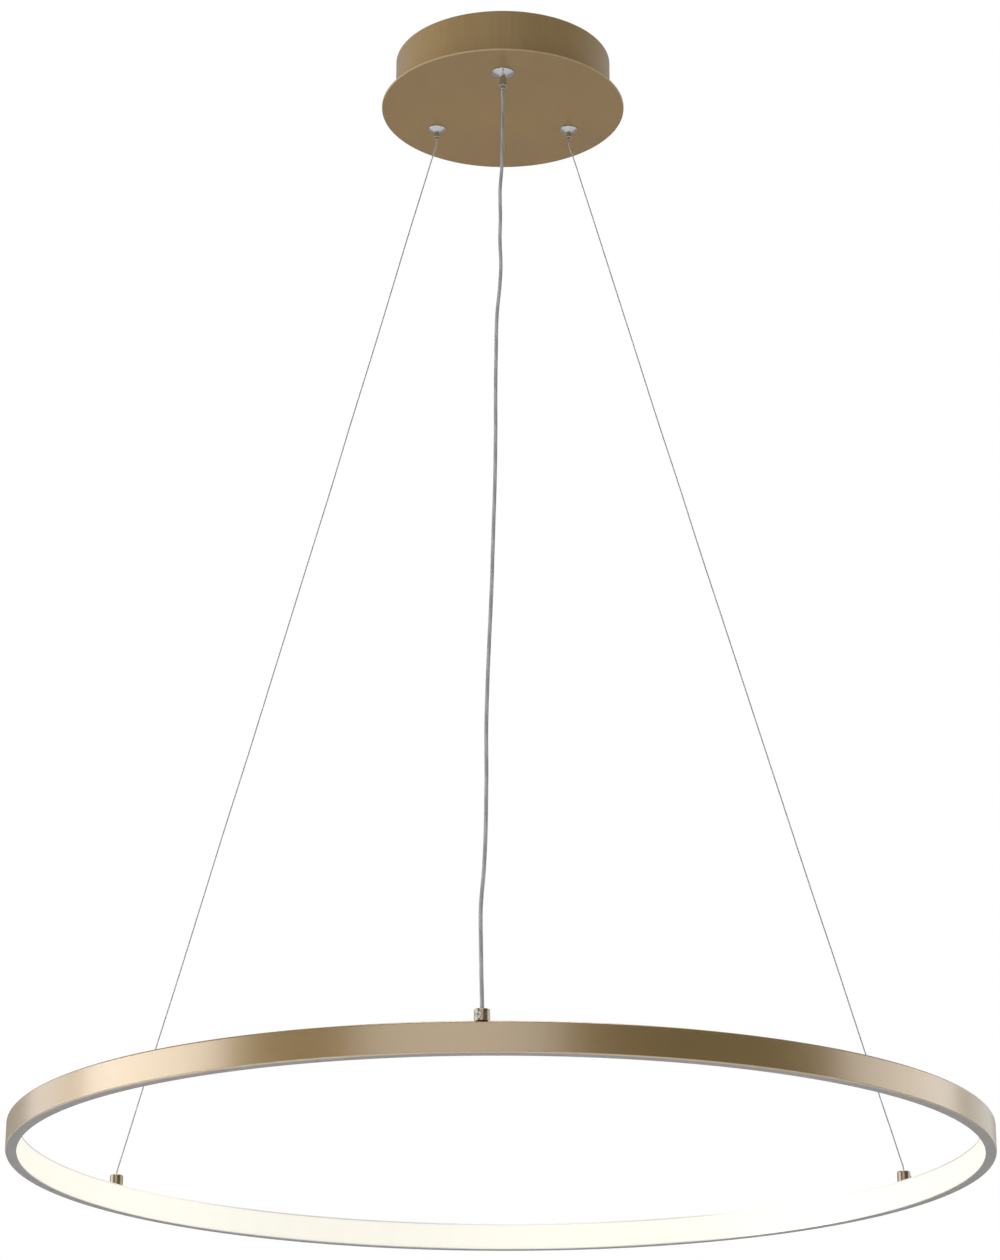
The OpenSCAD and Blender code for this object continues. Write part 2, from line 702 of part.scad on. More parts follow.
module left_gripper_body() { at_gripper(LEFT_A) gripper_body(WIRE_GRIPPER); }
module right_gripper_body() { at_gripper(RIGHT_A) gripper_body(WIRE_GRIPPER); }
module gripper_nut(g) {
    translate([0, 0, plate_t])
        hex_nut(2 * shank_r(g) + gripper_nut_grip, shank_r(g) + thread_play, gripper_nut_h);
}
module gripper_nuts() {
    color("silver") {
        at_gripper(FRONT_A) gripper_nut(CORD_GRIPPER);
        at_gripper(LEFT_A) gripper_nut(WIRE_GRIPPER);
        at_gripper(RIGHT_A) gripper_nut(WIRE_GRIPPER);
    }
}
module gripper_cap(g) {
    translate([0, 0, cap_z]) pipe(chamber_r(g) - thread_play, g[LINE] / 2 + cap_play, cap_t);
}
module gripper_caps() {
    color("silver") {
        at_gripper(FRONT_A) gripper_cap(CORD_GRIPPER);
        at_gripper(LEFT_A) gripper_cap(WIRE_GRIPPER);
        at_gripper(RIGHT_A) gripper_cap(WIRE_GRIPPER);
    }
}

// Spring between the plunger's head and the cap, one unbroken helix
spring_low = head_z + head_t + spring_wire_d / 2 + spring_seat;
spring_high = cap_z - spring_wire_d / 2 - spring_seat;
function spring_r(g) = chamber_r(g) - spring_gap - spring_wire_d / 2;
function helix(g) = [for (i = [0 : spring_curls * rings_per_curl])
    let (a = i * 360 / rings_per_curl, u = i / (spring_curls * rings_per_curl))
    [spring_r(g) * cos(a), spring_r(g) * sin(a), spring_low + u * (spring_high - spring_low)]];
function self_gap(g) = min([for (i = [0 : rings_per_curl : (spring_curls - 1) * rings_per_curl])
    norm(helix(g)[i + rings_per_curl] - helix(g)[i])]) - spring_wire_d;
echo(wire_spring_gap = self_gap(WIRE_GRIPPER), cord_spring_gap = self_gap(CORD_GRIPPER));
module spring(g) {
    color("lightgray") tube(helix(g), spring_wire_d / 2, spring_sides);
}
module front_spring() { at_gripper(FRONT_A) spring(CORD_GRIPPER); }
module left_spring() { at_gripper(LEFT_A) spring(WIRE_GRIPPER); }
module right_spring() { at_gripper(RIGHT_A) spring(WIRE_GRIPPER); }

// Plunger: a hollow stem with windows for the balls and a head under the spring
module plunger(g) {
    tip = tip_z(g);
    out = stem_r(g);
    color("whitesmoke") difference() {
        rotate_extrude() polygon([
            [stem_bore_r(g), tip], [out - nipple_round, tip], [out, tip + nipple_round],
            [out, head_z], [head_r(g), head_z], [head_r(g), head_z + head_t],
            [stem_bore_r(g), head_z + head_t]
        ]);
        for (i = [0 : ball_count - 1]) rotate([0, 0, i * 360 / ball_count])
            translate([0, 0, ball_z]) rotate([0, 90, 0])
                cylinder(r = g[BALL] / 2 + window_play, h = head_r(g));
    }
}
module front_plunger() { at_gripper(FRONT_A) plunger(CORD_GRIPPER); }
module left_plunger() { at_gripper(LEFT_A) plunger(WIRE_GRIPPER); }
module right_plunger() { at_gripper(RIGHT_A) plunger(WIRE_GRIPPER); }
module balls(g) {
    color("silver") for (i = [0 : ball_count - 1])
        rotate([0, 0, i * 360 / ball_count]) translate([ball_orbit(g), 0, ball_z]) sphere(d = g[BALL]);
}
module front_balls() { at_gripper(FRONT_A) balls(CORD_GRIPPER); }
module left_balls() { at_gripper(LEFT_A) balls(WIRE_GRIPPER); }
module right_balls() { at_gripper(RIGHT_A) balls(WIRE_GRIPPER); }

// Lines inside the grippers, with what stops them above the caps
module wire_tail() {
    color("silver") translate([0, 0, tip_z(WIRE_GRIPPER)])
        cylinder(d = wire_d, h = body_top + stop_h - tip_z(WIRE_GRIPPER));
}
module left_wire_tail() { at_gripper(LEFT_A) wire_tail(); }
module right_wire_tail() { at_gripper(RIGHT_A) wire_tail(); }
module wire_stops() {
    color("goldenrod") for (a = [LEFT_A, RIGHT_A])
        at_gripper(a) translate([0, 0, body_top]) pipe(stop_d / 2, wire_d / 2 + thread_play, stop_h);
}
module cord_tail() {
    color("gainsboro") at_gripper(FRONT_A) translate([0, 0, tip_z(CORD_GRIPPER)])
        cylinder(d = cord_d, h = body_top + clamp_h + tail_past - tip_z(CORD_GRIPPER));
}
module cord_clamp() {
    reach = clamp_d / 2 - cord_d / 2 - thread_play;
    color("dimgray") at_gripper(FRONT_A) translate([0, 0, body_top]) {
        difference() {
            pipe(clamp_d / 2, cord_d / 2 + thread_play, clamp_h);
            translate([0, 0, clamp_h / 2]) rotate([0, 90, 0])
                cylinder(d = clamp_screw_d + 2 * thread_play, h = clamp_d);
        }
        translate([cord_d / 2 + thread_play, 0, clamp_h / 2]) rotate([0, 90, 0])
            cylinder(d = clamp_screw_d, h = reach);
    }
}

// Free lines
module left_wire() { color("silver") tube(LEFT_ROUTE, wire_d / 2); }
module right_wire() { color("silver") tube(RIGHT_ROUTE, wire_d / 2); }
module power_cord() { color("gainsboro") tube(CORD_ROUTE, cord_d / 2); }

// Ring profile: a channel that opens inwards, rounded outside, grooved for the diffuser
module ring_section() {
    difference() {
        translate([ring_in_r, ring_bottom]) union() {
            square([ring_w - ring_corner, ring_h]);
            translate([0, ring_corner]) square([ring_w, ring_h - 2 * ring_corner]);
            for (z = [ring_corner, ring_h - ring_corner])
                translate([ring_w - ring_corner, z]) circle(ring_corner);
        }
        translate([ring_in_r - cut, channel_low])
            square([channel_r - ring_in_r + cut, channel_high - channel_low]);
        translate([ring_in_r + snap_set - snap_play, channel_low - snap_h - snap_play])
            square([snap_t + 2 * snap_play, channel_high - channel_low + 2 * (snap_h + snap_play)]);
    }
}
module ring_profile() {
    color("tan") difference() {
        rotate_extrude($fn = 180) ring_section();
        for (a = [FRONT_A, LEFT_A, RIGHT_A]) at_holder(a)
            translate([0, 0, channel_high - cut])
                cylinder(r = foot_d / 2 + hole_play, h = ring_wall + 2 * cut);
    }
}
module diffuser() {
    low = channel_low + diffuser_play;
    high = channel_high - diffuser_play;
    color("ivory") rotate_extrude($fn = 180) {
        translate([ring_in_r, low]) square([diffuser_t, high - low]);
        translate([ring_in_r + snap_set, low - snap_h]) square([snap_t, high - low + 2 * snap_h]);
    }
}
module light_strip() {
    color("white") translate([0, 0, strip_mid - strip_w / 2]) rotate_extrude($fn = 180)
        translate([strip_in_r, 0]) square([strip_t, strip_w]);
}
module light_chips() {
    chip_seat = 0.01;
    color("khaki") for (i = [0 : chips - 1]) rotate([0, 0, (i + 0.5) * 360 / chips])
        translate([strip_in_r - chip_seat - chip_t, -chip_l / 2, strip_mid - chip_h / 2])
            cube([chip_t, chip_l, chip_h]);
}

// Holders: a round stud on the ring with a threaded foot through the profile's upper wall
module holder(line, passage) {
    foot_l = ring_wall + foot_nut_t + foot_past;
    inner = holder_d / 2 - holder_round;
    color("darkgoldenrod") translate([0, 0, ring_top]) difference() {
        union() {
            rotate_extrude() {
                square([inner, holder_h]);
                square([holder_d / 2, holder_h - holder_round]);
                translate([inner, holder_h - holder_round]) intersection() {
                    circle(holder_round);
                    square(holder_round);
                }
            }
            translate([0, 0, -foot_l]) cylinder(d = foot_d, h = foot_l + cut);
        }
        translate([0, 0, holder_floor]) cylinder(r = line / 2 + line_hole_play, h = holder_h);
        rotate([0, 0, grub_turn]) translate([0, 0, grub_z]) rotate([0, 90, 0])
            cylinder(r = grub_r + thread_play, h = holder_d);
        if (passage > 0) translate([0, 0, -foot_l - cut]) cylinder(d = passage, h = foot_l + holder_h);
    }
}
module front_holder() { at_holder(FRONT_A) holder(cord_d, passage_d); }
module left_holder() { at_holder(LEFT_A) holder(wire_d, 0); }
module right_holder() { at_holder(RIGHT_A) holder(wire_d, 0); }
module grub_screw(line) {
    length = holder_d / 2 + grub_out - line / 2 - thread_play;
    rotate([0, 0, grub_turn]) translate([line / 2 + thread_play, 0, ring_top + grub_z]) rotate([0, 90, 0])
        difference() {
            cylinder(r = grub_r, h = length);
            translate([0, 0, length - socket_af]) cylinder(d = socket_af / cos(30), h = length, $fn = 6);
        }
}
module grub_screws() {
    color("silver") {
        at_holder(FRONT_A) grub_screw(cord_d);
        at_holder(LEFT_A) grub_screw(wire_d);
        at_holder(RIGHT_A) grub_screw(wire_d);
    }
}
module holder_nuts() {
    color("silver") for (a = [FRONT_A, LEFT_A, RIGHT_A]) at_holder(a)
        translate([0, 0, channel_high - foot_nut_t]) pipe(foot_nut_r, foot_d / 2 + thread_play, foot_nut_t);
}

// Lower ends of the lines inside their holders, and the cores that go on to the strip
module line_end(line) {
    translate([0, 0, line_floor + line_rest]) cylinder(d = line, h = holder_top - line_floor - line_rest);
}
module left_wire_end() { color("silver") at_holder(LEFT_A) line_end(wire_d); }
module right_wire_end() { color("silver") at_holder(RIGHT_A) line_end(wire_d); }
module cord_end() { color("gainsboro") at_holder(FRONT_A) line_end(cord_d); }
module feed_leads() {
    feed_bend = 1.2;
    below_foot = 0.9;
    off_strip = 0.2;
    below_edge = 1.2;
    pad_near = 7;
    pad_far = 12;
    bend_z = channel_high - foot_nut_t - foot_past - below_foot;
    pad_x = strip_in_r - holder_circle_r - core_d / 2 - off_strip;
    pad_z = strip_mid + strip_w / 2 - below_edge;
    color("gainsboro") at_holder(FRONT_A) for (side = [-1, 1]) tube(eased([
        [0, side * core_set, line_floor + line_rest], [0, side * core_set, bend_z],
        [pad_x, side * pad_near, pad_z], [pad_x - off_strip, side * pad_far, pad_z]
    ], feed_bend), core_d / 2, start = [1, 0, 0]);
}

ceiling_bracket();
canopy_drum();
canopy_plate();
side_screws();
weld_studs();
stud_nuts();
driver_case();
driver_board();
driver_cover();
terminal_block();
terminal_screws();
input_leads();
output_leads();
earth_lead();
front_gripper_body();
left_gripper_body();
right_gripper_body();
gripper_nuts();
gripper_caps();
front_spring();
left_spring();
right_spring();
front_plunger();
left_plunger();
right_plunger();
front_balls();
left_balls();
right_balls();
left_wire_tail();
right_wire_tail();
wire_stops();
cord_tail();
cord_clamp();
left_wire();
right_wire();
power_cord();
ring_profile();
diffuser();
light_strip();
light_chips();
front_holder();
left_holder();
right_holder();
grub_screws();
holder_nuts();
left_wire_end();
right_wire_end();
cord_end();
feed_leads();
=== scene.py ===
# %% [markdown]
# A pendant ring light, dressed around its construction model
#
# The light hangs from a round canopy on the ceiling. Two steel wires and one clear power cord run
# down to a slim ring that glows on its inner face. The construction model already gives every piece
# its size and place, so this lesson adds what a model for making lacks: twisted wire, a clear cord
# with its cores, rounded edges, finishes and light. Lengths are in metres, with +Z up, the origin
# on the ceiling, and the power cord hanging at the front, on the -Y side.

import math

import bpy
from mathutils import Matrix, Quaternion, Vector


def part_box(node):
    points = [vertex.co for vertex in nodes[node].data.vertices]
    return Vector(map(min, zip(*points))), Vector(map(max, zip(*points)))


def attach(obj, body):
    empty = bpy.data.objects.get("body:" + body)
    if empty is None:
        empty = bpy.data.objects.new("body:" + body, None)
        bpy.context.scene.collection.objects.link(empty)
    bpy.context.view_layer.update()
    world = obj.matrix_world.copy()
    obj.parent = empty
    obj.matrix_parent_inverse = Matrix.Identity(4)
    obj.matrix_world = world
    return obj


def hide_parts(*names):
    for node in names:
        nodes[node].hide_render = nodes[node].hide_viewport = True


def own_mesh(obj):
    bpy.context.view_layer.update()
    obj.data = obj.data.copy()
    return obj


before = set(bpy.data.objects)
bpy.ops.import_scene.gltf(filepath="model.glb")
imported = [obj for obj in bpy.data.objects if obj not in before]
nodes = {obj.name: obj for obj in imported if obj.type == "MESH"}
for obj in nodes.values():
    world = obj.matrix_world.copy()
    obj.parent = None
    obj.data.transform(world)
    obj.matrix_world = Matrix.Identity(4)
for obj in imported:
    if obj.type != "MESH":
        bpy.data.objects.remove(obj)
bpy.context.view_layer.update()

# %% [markdown]
# The camera
#
# The ring's near side and far side both show in the photograph, and so does the underside of the
# canopy. That fixes where the eye was: low, in front of the ring, looking up by about twenty
# degrees through a long lens. A long lens is a narrow field of view, so it is written here as the
# photograph's own measure, pixels of focal length, and turned into millimetres of lens for a film
# 36 mm wide. The two angles are in radians: the look upwards, and a slight lean to one side.

# %% Camera
PHOTO_LONG_SIDE = 1260
FOCAL_PIXELS = 3442.3
FILM_WIDTH = 36
EYE = (-0.0016, -2.7797, -1.5688)
LOOK_UP = 0.35126
LEAN = 0.00203

camera_data = bpy.data.cameras.new("camera")
camera_data.sensor_width = FILM_WIDTH
camera_data.lens = FOCAL_PIXELS / PHOTO_LONG_SIDE * FILM_WIDTH
camera = bpy.data.objects.new("camera", camera_data)
camera.location = EYE
upright_to_tilted = Quaternion((1, 0, 0), math.pi / 2 + LOOK_UP)
camera.rotation_euler = (upright_to_tilted @ Quaternion((0, 0, 1), LEAN)).to_euler()
bpy.context.scene.collection.objects.link(camera)
bpy.context.scene.camera = camera
print("lens", round(camera_data.lens, 2), "mm")

# %% [markdown]
# Two ways to make a surface
#
# Almost everything on a lamp is either turned on a lathe or drawn through a die. A lathe spins one
# outline round an axis, and a die gives one section that follows a path. So two functions, lathe
# and sweep, make nearly all the pieces here, and both hand over rows of points. The function
# quilted joins such rows with four-sided faces. It also stores how far round and how far along each
# corner lies, as a UV map, because stripes and strands are easiest to paint in those two numbers.

# %% From rows of points to a mesh
MM = 0.001
UV_NAME = "round_and_along"


def add_object(name, points, faces):
    """A smooth-shaded object, linked to the scene."""
    mesh = bpy.data.meshes.new(name)
    mesh.from_pydata([tuple(p) for p in points], [], faces)
    mesh.shade_smooth()
    made = bpy.data.objects.new(name, mesh)
    bpy.context.scene.collection.objects.link(made)
    return made


def quilted(name, rows, along, closed=False, caps=False):
    """Rings of points joined by quads. Closed joins the last to the first, caps fill the ends."""
    wide, count = len(rows[0]), len(rows)
    faces, uvs = [], []
    for i in range(count if closed else count - 1):
        here, there = i * wide, (i + 1) % count * wide
        low, high = along[i], along[i + 1]
        for k in range(wide):
            after = (k + 1) % wide
            faces.append((here + k, here + after, there + after, there + k))
            left, right = k / wide, (k + 1) / wide
            uvs += [(left, low), (right, low), (right, high), (left, high)]
    if caps:
        faces.append(tuple(reversed(range(wide))))
        faces.append(tuple(range((count - 1) * wide, count * wide)))
        uvs += [(0, along[0])] * wide + [(0, along[-1])] * wide
    made = add_object(name, [p for row in rows for p in row], faces)
    layer = made.data.uv_layers.new(name=UV_NAME)
    for corner, uv in zip(layer.data, uvs):
        corner.uv = uv
    return made


print("mesh helpers ready; the UV map is called", UV_NAME)

# %% [markdown]
# Rounded outlines
#
# A sharp edge on a real lamp is never quite sharp: paint, plating and polishing round it, and that
# rounding is what catches the light as a thin bright line. So an outline is written with a radius
# at each corner, and the function rounded turns each into a short arc before the lathe spins it.
# Flat faces beside such arcs need their normals weighted by area, or the flats would look swollen.

# %% Rounding and turning
ARC_STEPS = 5
CREASE = math.radians(50)


def rounded(outline):
    """Points of a closed outline of (x, y, radius) corners, each rounded by its radius."""
    points = []
    for i, (x, y, radius) in enumerate(outline):
        corner = Vector((x, y))
        if radius == 0:
            points.append(corner)
            continue
        back = Vector(outline[i - 1][:2]) - corner
        ahead = Vector(outline[(i + 1) % len(outline)][:2]) - corner
        half = back.angle(ahead) / 2
        back.normalize()
        ahead.normalize()
        reach = radius / math.tan(half)
        start, end = corner + back * reach, corner + ahead * reach
        centre = corner + (back + ahead).normalized() * radius / math.sin(half)
        for s in range(ARC_STEPS + 1):
            chord = start.lerp(end, s / ARC_STEPS) - centre
            points.append(centre + chord.normalized() * radius)
    return points


def even_normals(piece):
    """Keeps flats flat beside their rounded edges."""
    piece.data.set_sharp_from_angle(angle=CREASE)
    piece.modifiers.new("even_normals", "WEIGHTED_NORMAL").keep_sharp = True
    return piece


def lathe(name, outline, steps, centre=(0, 0, 0)):
    """A closed outline of (radius, height, rounding) corners, spun round a vertical axis."""
    points = rounded(outline)
    rows = []
    for i in range(steps):
        turn = math.tau * i / steps
        rows.append([Vector((p.x * math.cos(turn), p.x * math.sin(turn), p.y)) + Vector(centre)
                     for p in points])
    return even_normals(quilted(name, rows, [i / steps for i in range(steps + 1)], closed=True))


soft_square = rounded([(0, 0, 1), (4, 0, 1), (4, 4, 1), (0, 4, 1)])
print("a square with four round corners takes", len(soft_square), "points")

# %% [markdown]
# Sections carried along a path
#
# A sweep has to keep its section from spinning as the path bends. Each new frame is the last one
# leaned over by just the bend, which is called parallel transport. A twist on top of that turns
# the section steadily, and a lobed section with a twist is a stranded wire. Paths come as a few
# given points; the function smoothed puts a curve through them that passes every point,
# and spaces the rings about evenly, so that the faces stay even too.

# %% Paths and sweeps
def smoothed(points, step):
    """Points about a step apart on a curve through all the given ones."""
    given = [Vector(p) for p in points]
    ends = [given[0] * 2 - given[1], *given, given[-1] * 2 - given[-2]]
    fine = [given[0]]
    for a, b, c, d in zip(ends, ends[1:], ends[2:], ends[3:]):
        tail = (c - a) * (b - c).length / ((c - b).length + (b - a).length)
        head = (d - b) * (b - c).length / ((d - c).length + (c - b).length)
        parts = max(2, round((c - b).length / step))
        for i in range(1, parts + 1):
            t = i / parts
            fine.append(b * (2 * t ** 3 - 3 * t ** 2 + 1) + tail * (t ** 3 - 2 * t ** 2 + t)
                        + c * (3 * t ** 2 - 2 * t ** 3) + head * (t ** 3 - t ** 2))
    return fine


def length_of(path):
    return sum((b - a).length for a, b in zip(path, path[1:]))


def frames_along(path, start=(1, 0, 0)):
    """For each point its place, two directions across the path, and the distance from the start."""
    across, gone, made = Vector(start), 0.0, []
    for i, point in enumerate(path):
        along = (path[min(i + 1, len(path) - 1)] - path[max(i - 1, 0)]).normalized()
        across = (across - along * across.dot(along)).normalized()
        gone += (point - path[i - 1]).length if i else 0
        made.append((point, across, along.cross(across), gone))
    return made


def sweep(name, path, section, lay=0, start=(1, 0, 0)):
    """A section of (angle, radius) pairs carried along a path. Lay is the length of one twist."""
    rows, along = [], []
    for point, across, up, gone in frames_along(path, start):
        twist = math.tau * gone / lay if lay else 0
        rows.append([point + (across * math.cos(a + twist) + up * math.sin(a + twist)) * r
                     for a, r in section])
        along.append(gone)
    return quilted(name, rows, along, caps=True)


def round_section(radius, sides):
    return [(math.tau * k / sides, radius) for k in range(sides)]


def strand_section(radius, strands=6, points=4):
    """The outline of round strands laid side by side round a core, as in wire rope."""
    strand = radius / (1 + 1 / math.sin(math.pi / strands))
    orbit = radius - strand
    section = []
    for s in range(strands):
        for k in range(points):
            off = (k / points - 0.5) * math.tau / strands
            side = max(strand ** 2 - (orbit * math.sin(off)) ** 2, 0)
            section.append((math.tau * s / strands + off, orbit * math.cos(off) + math.sqrt(side)))
    return section


print("the section of six strands takes", len(strand_section(1)), "points")

# %% [markdown]
# The three lines
#
# Two wires and the power cord leave the canopy straight down, lean outwards, and reach the ring
# taut. The cord carries load too: in the photograph it hangs straight, with the faint kinks of a
# cord that was coiled in its box. Their routes are the construction model's own, in millimetres. As
# the ring is raised, the lines slide up into the canopy, so each one shortens towards its gripper.

# %% Routes
LEFT_ROUTE = [
    (-60.6, 35, -58.4), (-60.6, 35, -60.6), (-61.1, 35.3, -64), (-63, 36.5, -70),
    (-66.1, 38.5, -80), (-72, 42, -100), (-84, 49.5, -140), (-101.5, 61, -200),
    (-119, 72, -260), (-137, 83.5, -320), (-154.5, 95, -380), (-172.5, 106, -440),
    (-190.5, 117.5, -500), (-208.5, 129, -560), (-226.5, 140.5, -620), (-245, 152, -680),
    (-263, 163.5, -740), (-281, 175, -800), (-299.5, 187, -860), (-315, 196.5, -910),
    (-327, 204.3, -950), (-332.5, 207.8, -968), (-334.8, 209.3, -975.5),
    (-335.7, 209.8, -979.5), (-335.7, 209.8, -981.7),
]
RIGHT_ROUTE = [
    (60.6, 35, -58.4), (60.6, 35, -60.6), (61.2, 35.3, -64), (63.2, 36.4, -70),
    (66.4, 38, -80), (72.5, 41, -100), (85, 47.5, -140), (103.5, 57.5, -200),
    (122, 67, -260), (140.5, 77, -320), (159.5, 86.5, -380), (178, 96.5, -440),
    (197, 106, -500), (216, 116, -560), (235, 126, -620), (254, 136, -680),
    (273, 146, -740), (292.5, 156, -800), (311.5, 166, -860), (327.5, 174.5, -910),
    (340.5, 181, -950), (346.2, 184.1, -968), (348.7, 185.4, -975.5),
    (349.6, 185.9, -979.5), (349.6, 185.9, -981.7),
]
CORD_ROUTE = [
    (0, -70, -63.8), (0, -70, -68), (0.1, -70.8, -72.5), (0.2, -73, -79),
    (0.2, -76.9, -87), (-0.4, -92.6, -130), (-0.9, -103.3, -160), (-2.3, -112.2, -185),
    (-2, -123, -215), (-2.3, -133.7, -245), (-1.5, -144.4, -275), (-2.6, -153.4, -300),
    (-4.7, -164.1, -330), (-5.3, -178.4, -370), (-5.6, -192.7, -410), (-5.5, -210.5, -460),
    (-6, -228.4, -510), (-7.1, -246.3, -560), (-8.2, -264.2, -610), (-9.8, -282.1, -660),
    (-11, -296.4, -700), (-11.8, -312.5, -745), (-11.5, -326.8, -785), (-12, -346.4, -840),
    (-13.2, -357.2, -870), (-15.1, -367.9, -900), (-14.8, -378.6, -930), (-14.3, -388, -957),
    (-13.8, -395.7, -977), (-13.8, -395.7, -981.7),
]


def in_metres(route):
    return [Vector(p) * MM for p in route]


def shorten_with_ring(piece):
    """Gives a line a mesh of its own."""
    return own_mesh(piece)


def fit(piece, body, slot, *hidden):
    """Ties a piece to its body, and hides the nodes that it stands for. The slot is not used."""
    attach(piece, body)
    if hidden:
        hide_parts(*hidden)
    return piece


# %% [markdown]
# Stranded steel wire
#
# A suspension wire is six strands laid round a seventh. From across a room it is a grey line, and
# close up it is a rope. The cheap way is a smooth tube with a painted stripe. Here the section
# itself has six lobes and twists once in about eight diameters, the usual lay of fine wire rope,
# so the light breaks on it as on the real one.

# %% Suspension wires
WIRE_D = 1.2 * MM
WIRE_LAY = 9.6 * MM
WIRE_STEP = 0.8 * MM

wires = []
for side, route in (("left", LEFT_ROUTE), ("right", RIGHT_ROUTE)):
    path = smoothed(in_metres(route), WIRE_STEP)
    wire = sweep(side + "_steel_wire", path, strand_section(WIRE_D / 2), WIRE_LAY)
    fit(wire, "canopy", "steel_wire", side + "_wire")
    wires.append(shorten_with_ring(wire))
    print(wire.name, "length", round(length_of(path), 4), "m,", len(wire.data.polygons), "faces")

# %% [markdown]
# The clear power cord
#
# Two bundles of tinned copper twist round each other inside the cord's clear jacket, and they make
# the light and dark pattern that runs up it. Glass with metal in it could make that pattern, but a
# tube three millimetres thick bends the light so much that it would only flicker. So the jacket is
# a smooth tube that is mostly a grey solid with the twist painted on it, and just a little clear.
# The cores are real twisted bundles inside it.

# %% Power cord
CORD_D = 3 * MM
CORD_SIDES = 20
CORD_STEP = 2.5 * MM
CORE_D = 1 * MM
CORE_SET = 0.58 * MM
CORE_LAY = 16 * MM
CORE_STEP = 0.8 * MM
core_section = strand_section(CORE_D / 2, strands=8, points=2)


def twisted_core(path, half):
    """The centre of one of two cores that twist round each other along a path."""
    centres = []
    for point, across, up, gone in frames_along(path):
        turn = math.tau * (gone / CORE_LAY + half / 2)
        centres.append(point + (across * math.cos(turn) + up * math.sin(turn)) * CORE_SET)
    return centres


path = smoothed(in_metres(CORD_ROUTE), CORD_STEP)
jacket = sweep("clear_cord_jacket", path, round_section(CORD_D / 2, CORD_SIDES))
cores = []
for half in (0, 1):
    centres = twisted_core(smoothed(in_metres(CORD_ROUTE), CORE_STEP), half)
    core = fit(sweep("cord_core_%d" % (half + 1), centres, core_section), "canopy", "tinned_core")
    cores.append(shorten_with_ring(core))
fit(jacket, "canopy", "clear_cord", "power_cord")
shorten_with_ring(jacket)
print("cord length", round(length_of(path), 4), "m")

# %% [markdown]
# Where the lines go on inside
#
# A wire doesn't stop at its gripper. It runs up through it to a crimped stop in the canopy, and at
# the other end it goes down into the holder on the ring. These short straight stretches never bend,
# so they take their place and length from the construction model's own boxes.

# %% Ends of the lines
def straight_end(name, node, body, slot):
    """A straight stretch of wire or cord in the place of a node."""
    low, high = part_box(node)
    middle, radius = (low + high) / 2, (high.x - low.x) / 2
    foot, top = Vector((middle.x, middle.y, low.z)), Vector((middle.x, middle.y, high.z))
    steps = max(2, round((top - foot).length / WIRE_STEP))
    path = [foot.lerp(top, i / steps) for i in range(steps + 1)]
    stranded = slot == "steel_wire"
    section = strand_section(radius) if stranded else round_section(radius, CORD_SIDES)
    return fit(sweep(name, path, section, WIRE_LAY if stranded else 0), body, slot, node)


wire_ends = [
    straight_end("stranded_" + node, node, body, "steel_wire")
    for node, body in (("left_wire_tail", "canopy"), ("left_wire_end", "ring"),
                       ("right_wire_tail", "canopy"), ("right_wire_end", "ring"))
]
jacket_ends = [
    straight_end("clear_" + node, node, body, "clear_cord")
    for node, body in (("cord_tail", "canopy"), ("cord_end", "ring"))
]
print("line ends:", [end.name for end in wire_ends + jacket_ends])

# %% [markdown]
# Springs
#
# Each gripper holds a small spring that keeps its plunger down on the balls. Pressing the plunger
# up squeezes it, so the spring flattens towards the cap above it. A spring is a sweep along a
# helix. Its last curls lie closer together than the middle ones, as on a spring that has to stand
# square, and a smooth ramp in the height makes that.

# %% Helical springs
SPRING_CURLS = 4
SPRING_WIRE_D = 0.5 * MM
SPRING_SIDES = 10
CURL_STEPS = 28
END_CROWDING = 0.05

springs = []
for side in ("front", "left", "right"):
    low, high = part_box(side + "_spring")
    centre = (low + high) / 2
    radius = (high.x - low.x) / 2 - SPRING_WIRE_D / 2
    tall = high.z - low.z - SPRING_WIRE_D
    helix = []
    for i in range(SPRING_CURLS * CURL_STEPS + 1):
        share = i / (SPRING_CURLS * CURL_STEPS)
        turn = math.tau * SPRING_CURLS * share
        rise = share - END_CROWDING * math.sin(math.tau * share)
        helix.append(Vector((centre.x + radius * math.cos(turn), centre.y + radius * math.sin(turn),
                             low.z + SPRING_WIRE_D / 2 + tall * rise)))
    section = round_section(SPRING_WIRE_D / 2, SPRING_SIDES)
    spring = sweep(side + "_helix", helix, section, start=(0, 0, 1))
    fit(spring, "canopy", "zinc_steel", side + "_spring")
    springs.append(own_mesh(spring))
print("springs:", [s.name for s in springs])

# %% [markdown]
# Nodes with fewer words
#
# A material is a small network of nodes. Written out in full it is long, so a few helpers keep it
# readable. The function give hands a node its inputs: a number or colour is set on the socket
# itself, and another node's output is linked to it. With it, add makes a node, calc does one step
# of arithmetic, ranged moves a value from one range to another, mixed blends two colours and
# blended two shaders. These four find the right network from the output that they are given.

# %% Node helpers
WHITE = (1, 1, 1, 1)
# The Mix node has sockets for each kind of data; these are the places of the colour ones.
MIX_A, MIX_B, MIXED = 6, 7, 2


def feed(socket, value):
    """Links an input to another node's output, or sets it to a plain value."""
    if isinstance(value, bpy.types.NodeSocket):
        socket.id_data.links.new(value, socket)
    else:
        socket.default_value = value


def give(node, *numbered, **named):
    """Feeds a node's inputs, in order or by name."""
    for number, value in enumerate(numbered):
        feed(node.inputs[number], value)
    for name, value in named.items():
        feed(node.inputs[name.replace("_", " ")], value)


def add(tree, kind, *numbered, **named):
    """A shader node, with its settings by name and its inputs in order or by name."""
    node = tree.nodes.new("ShaderNode" + kind)
    for name in [n for n in named if hasattr(node, n)]:
        setattr(node, name, named.pop(name))
    give(node, *numbered, **named)
    return node


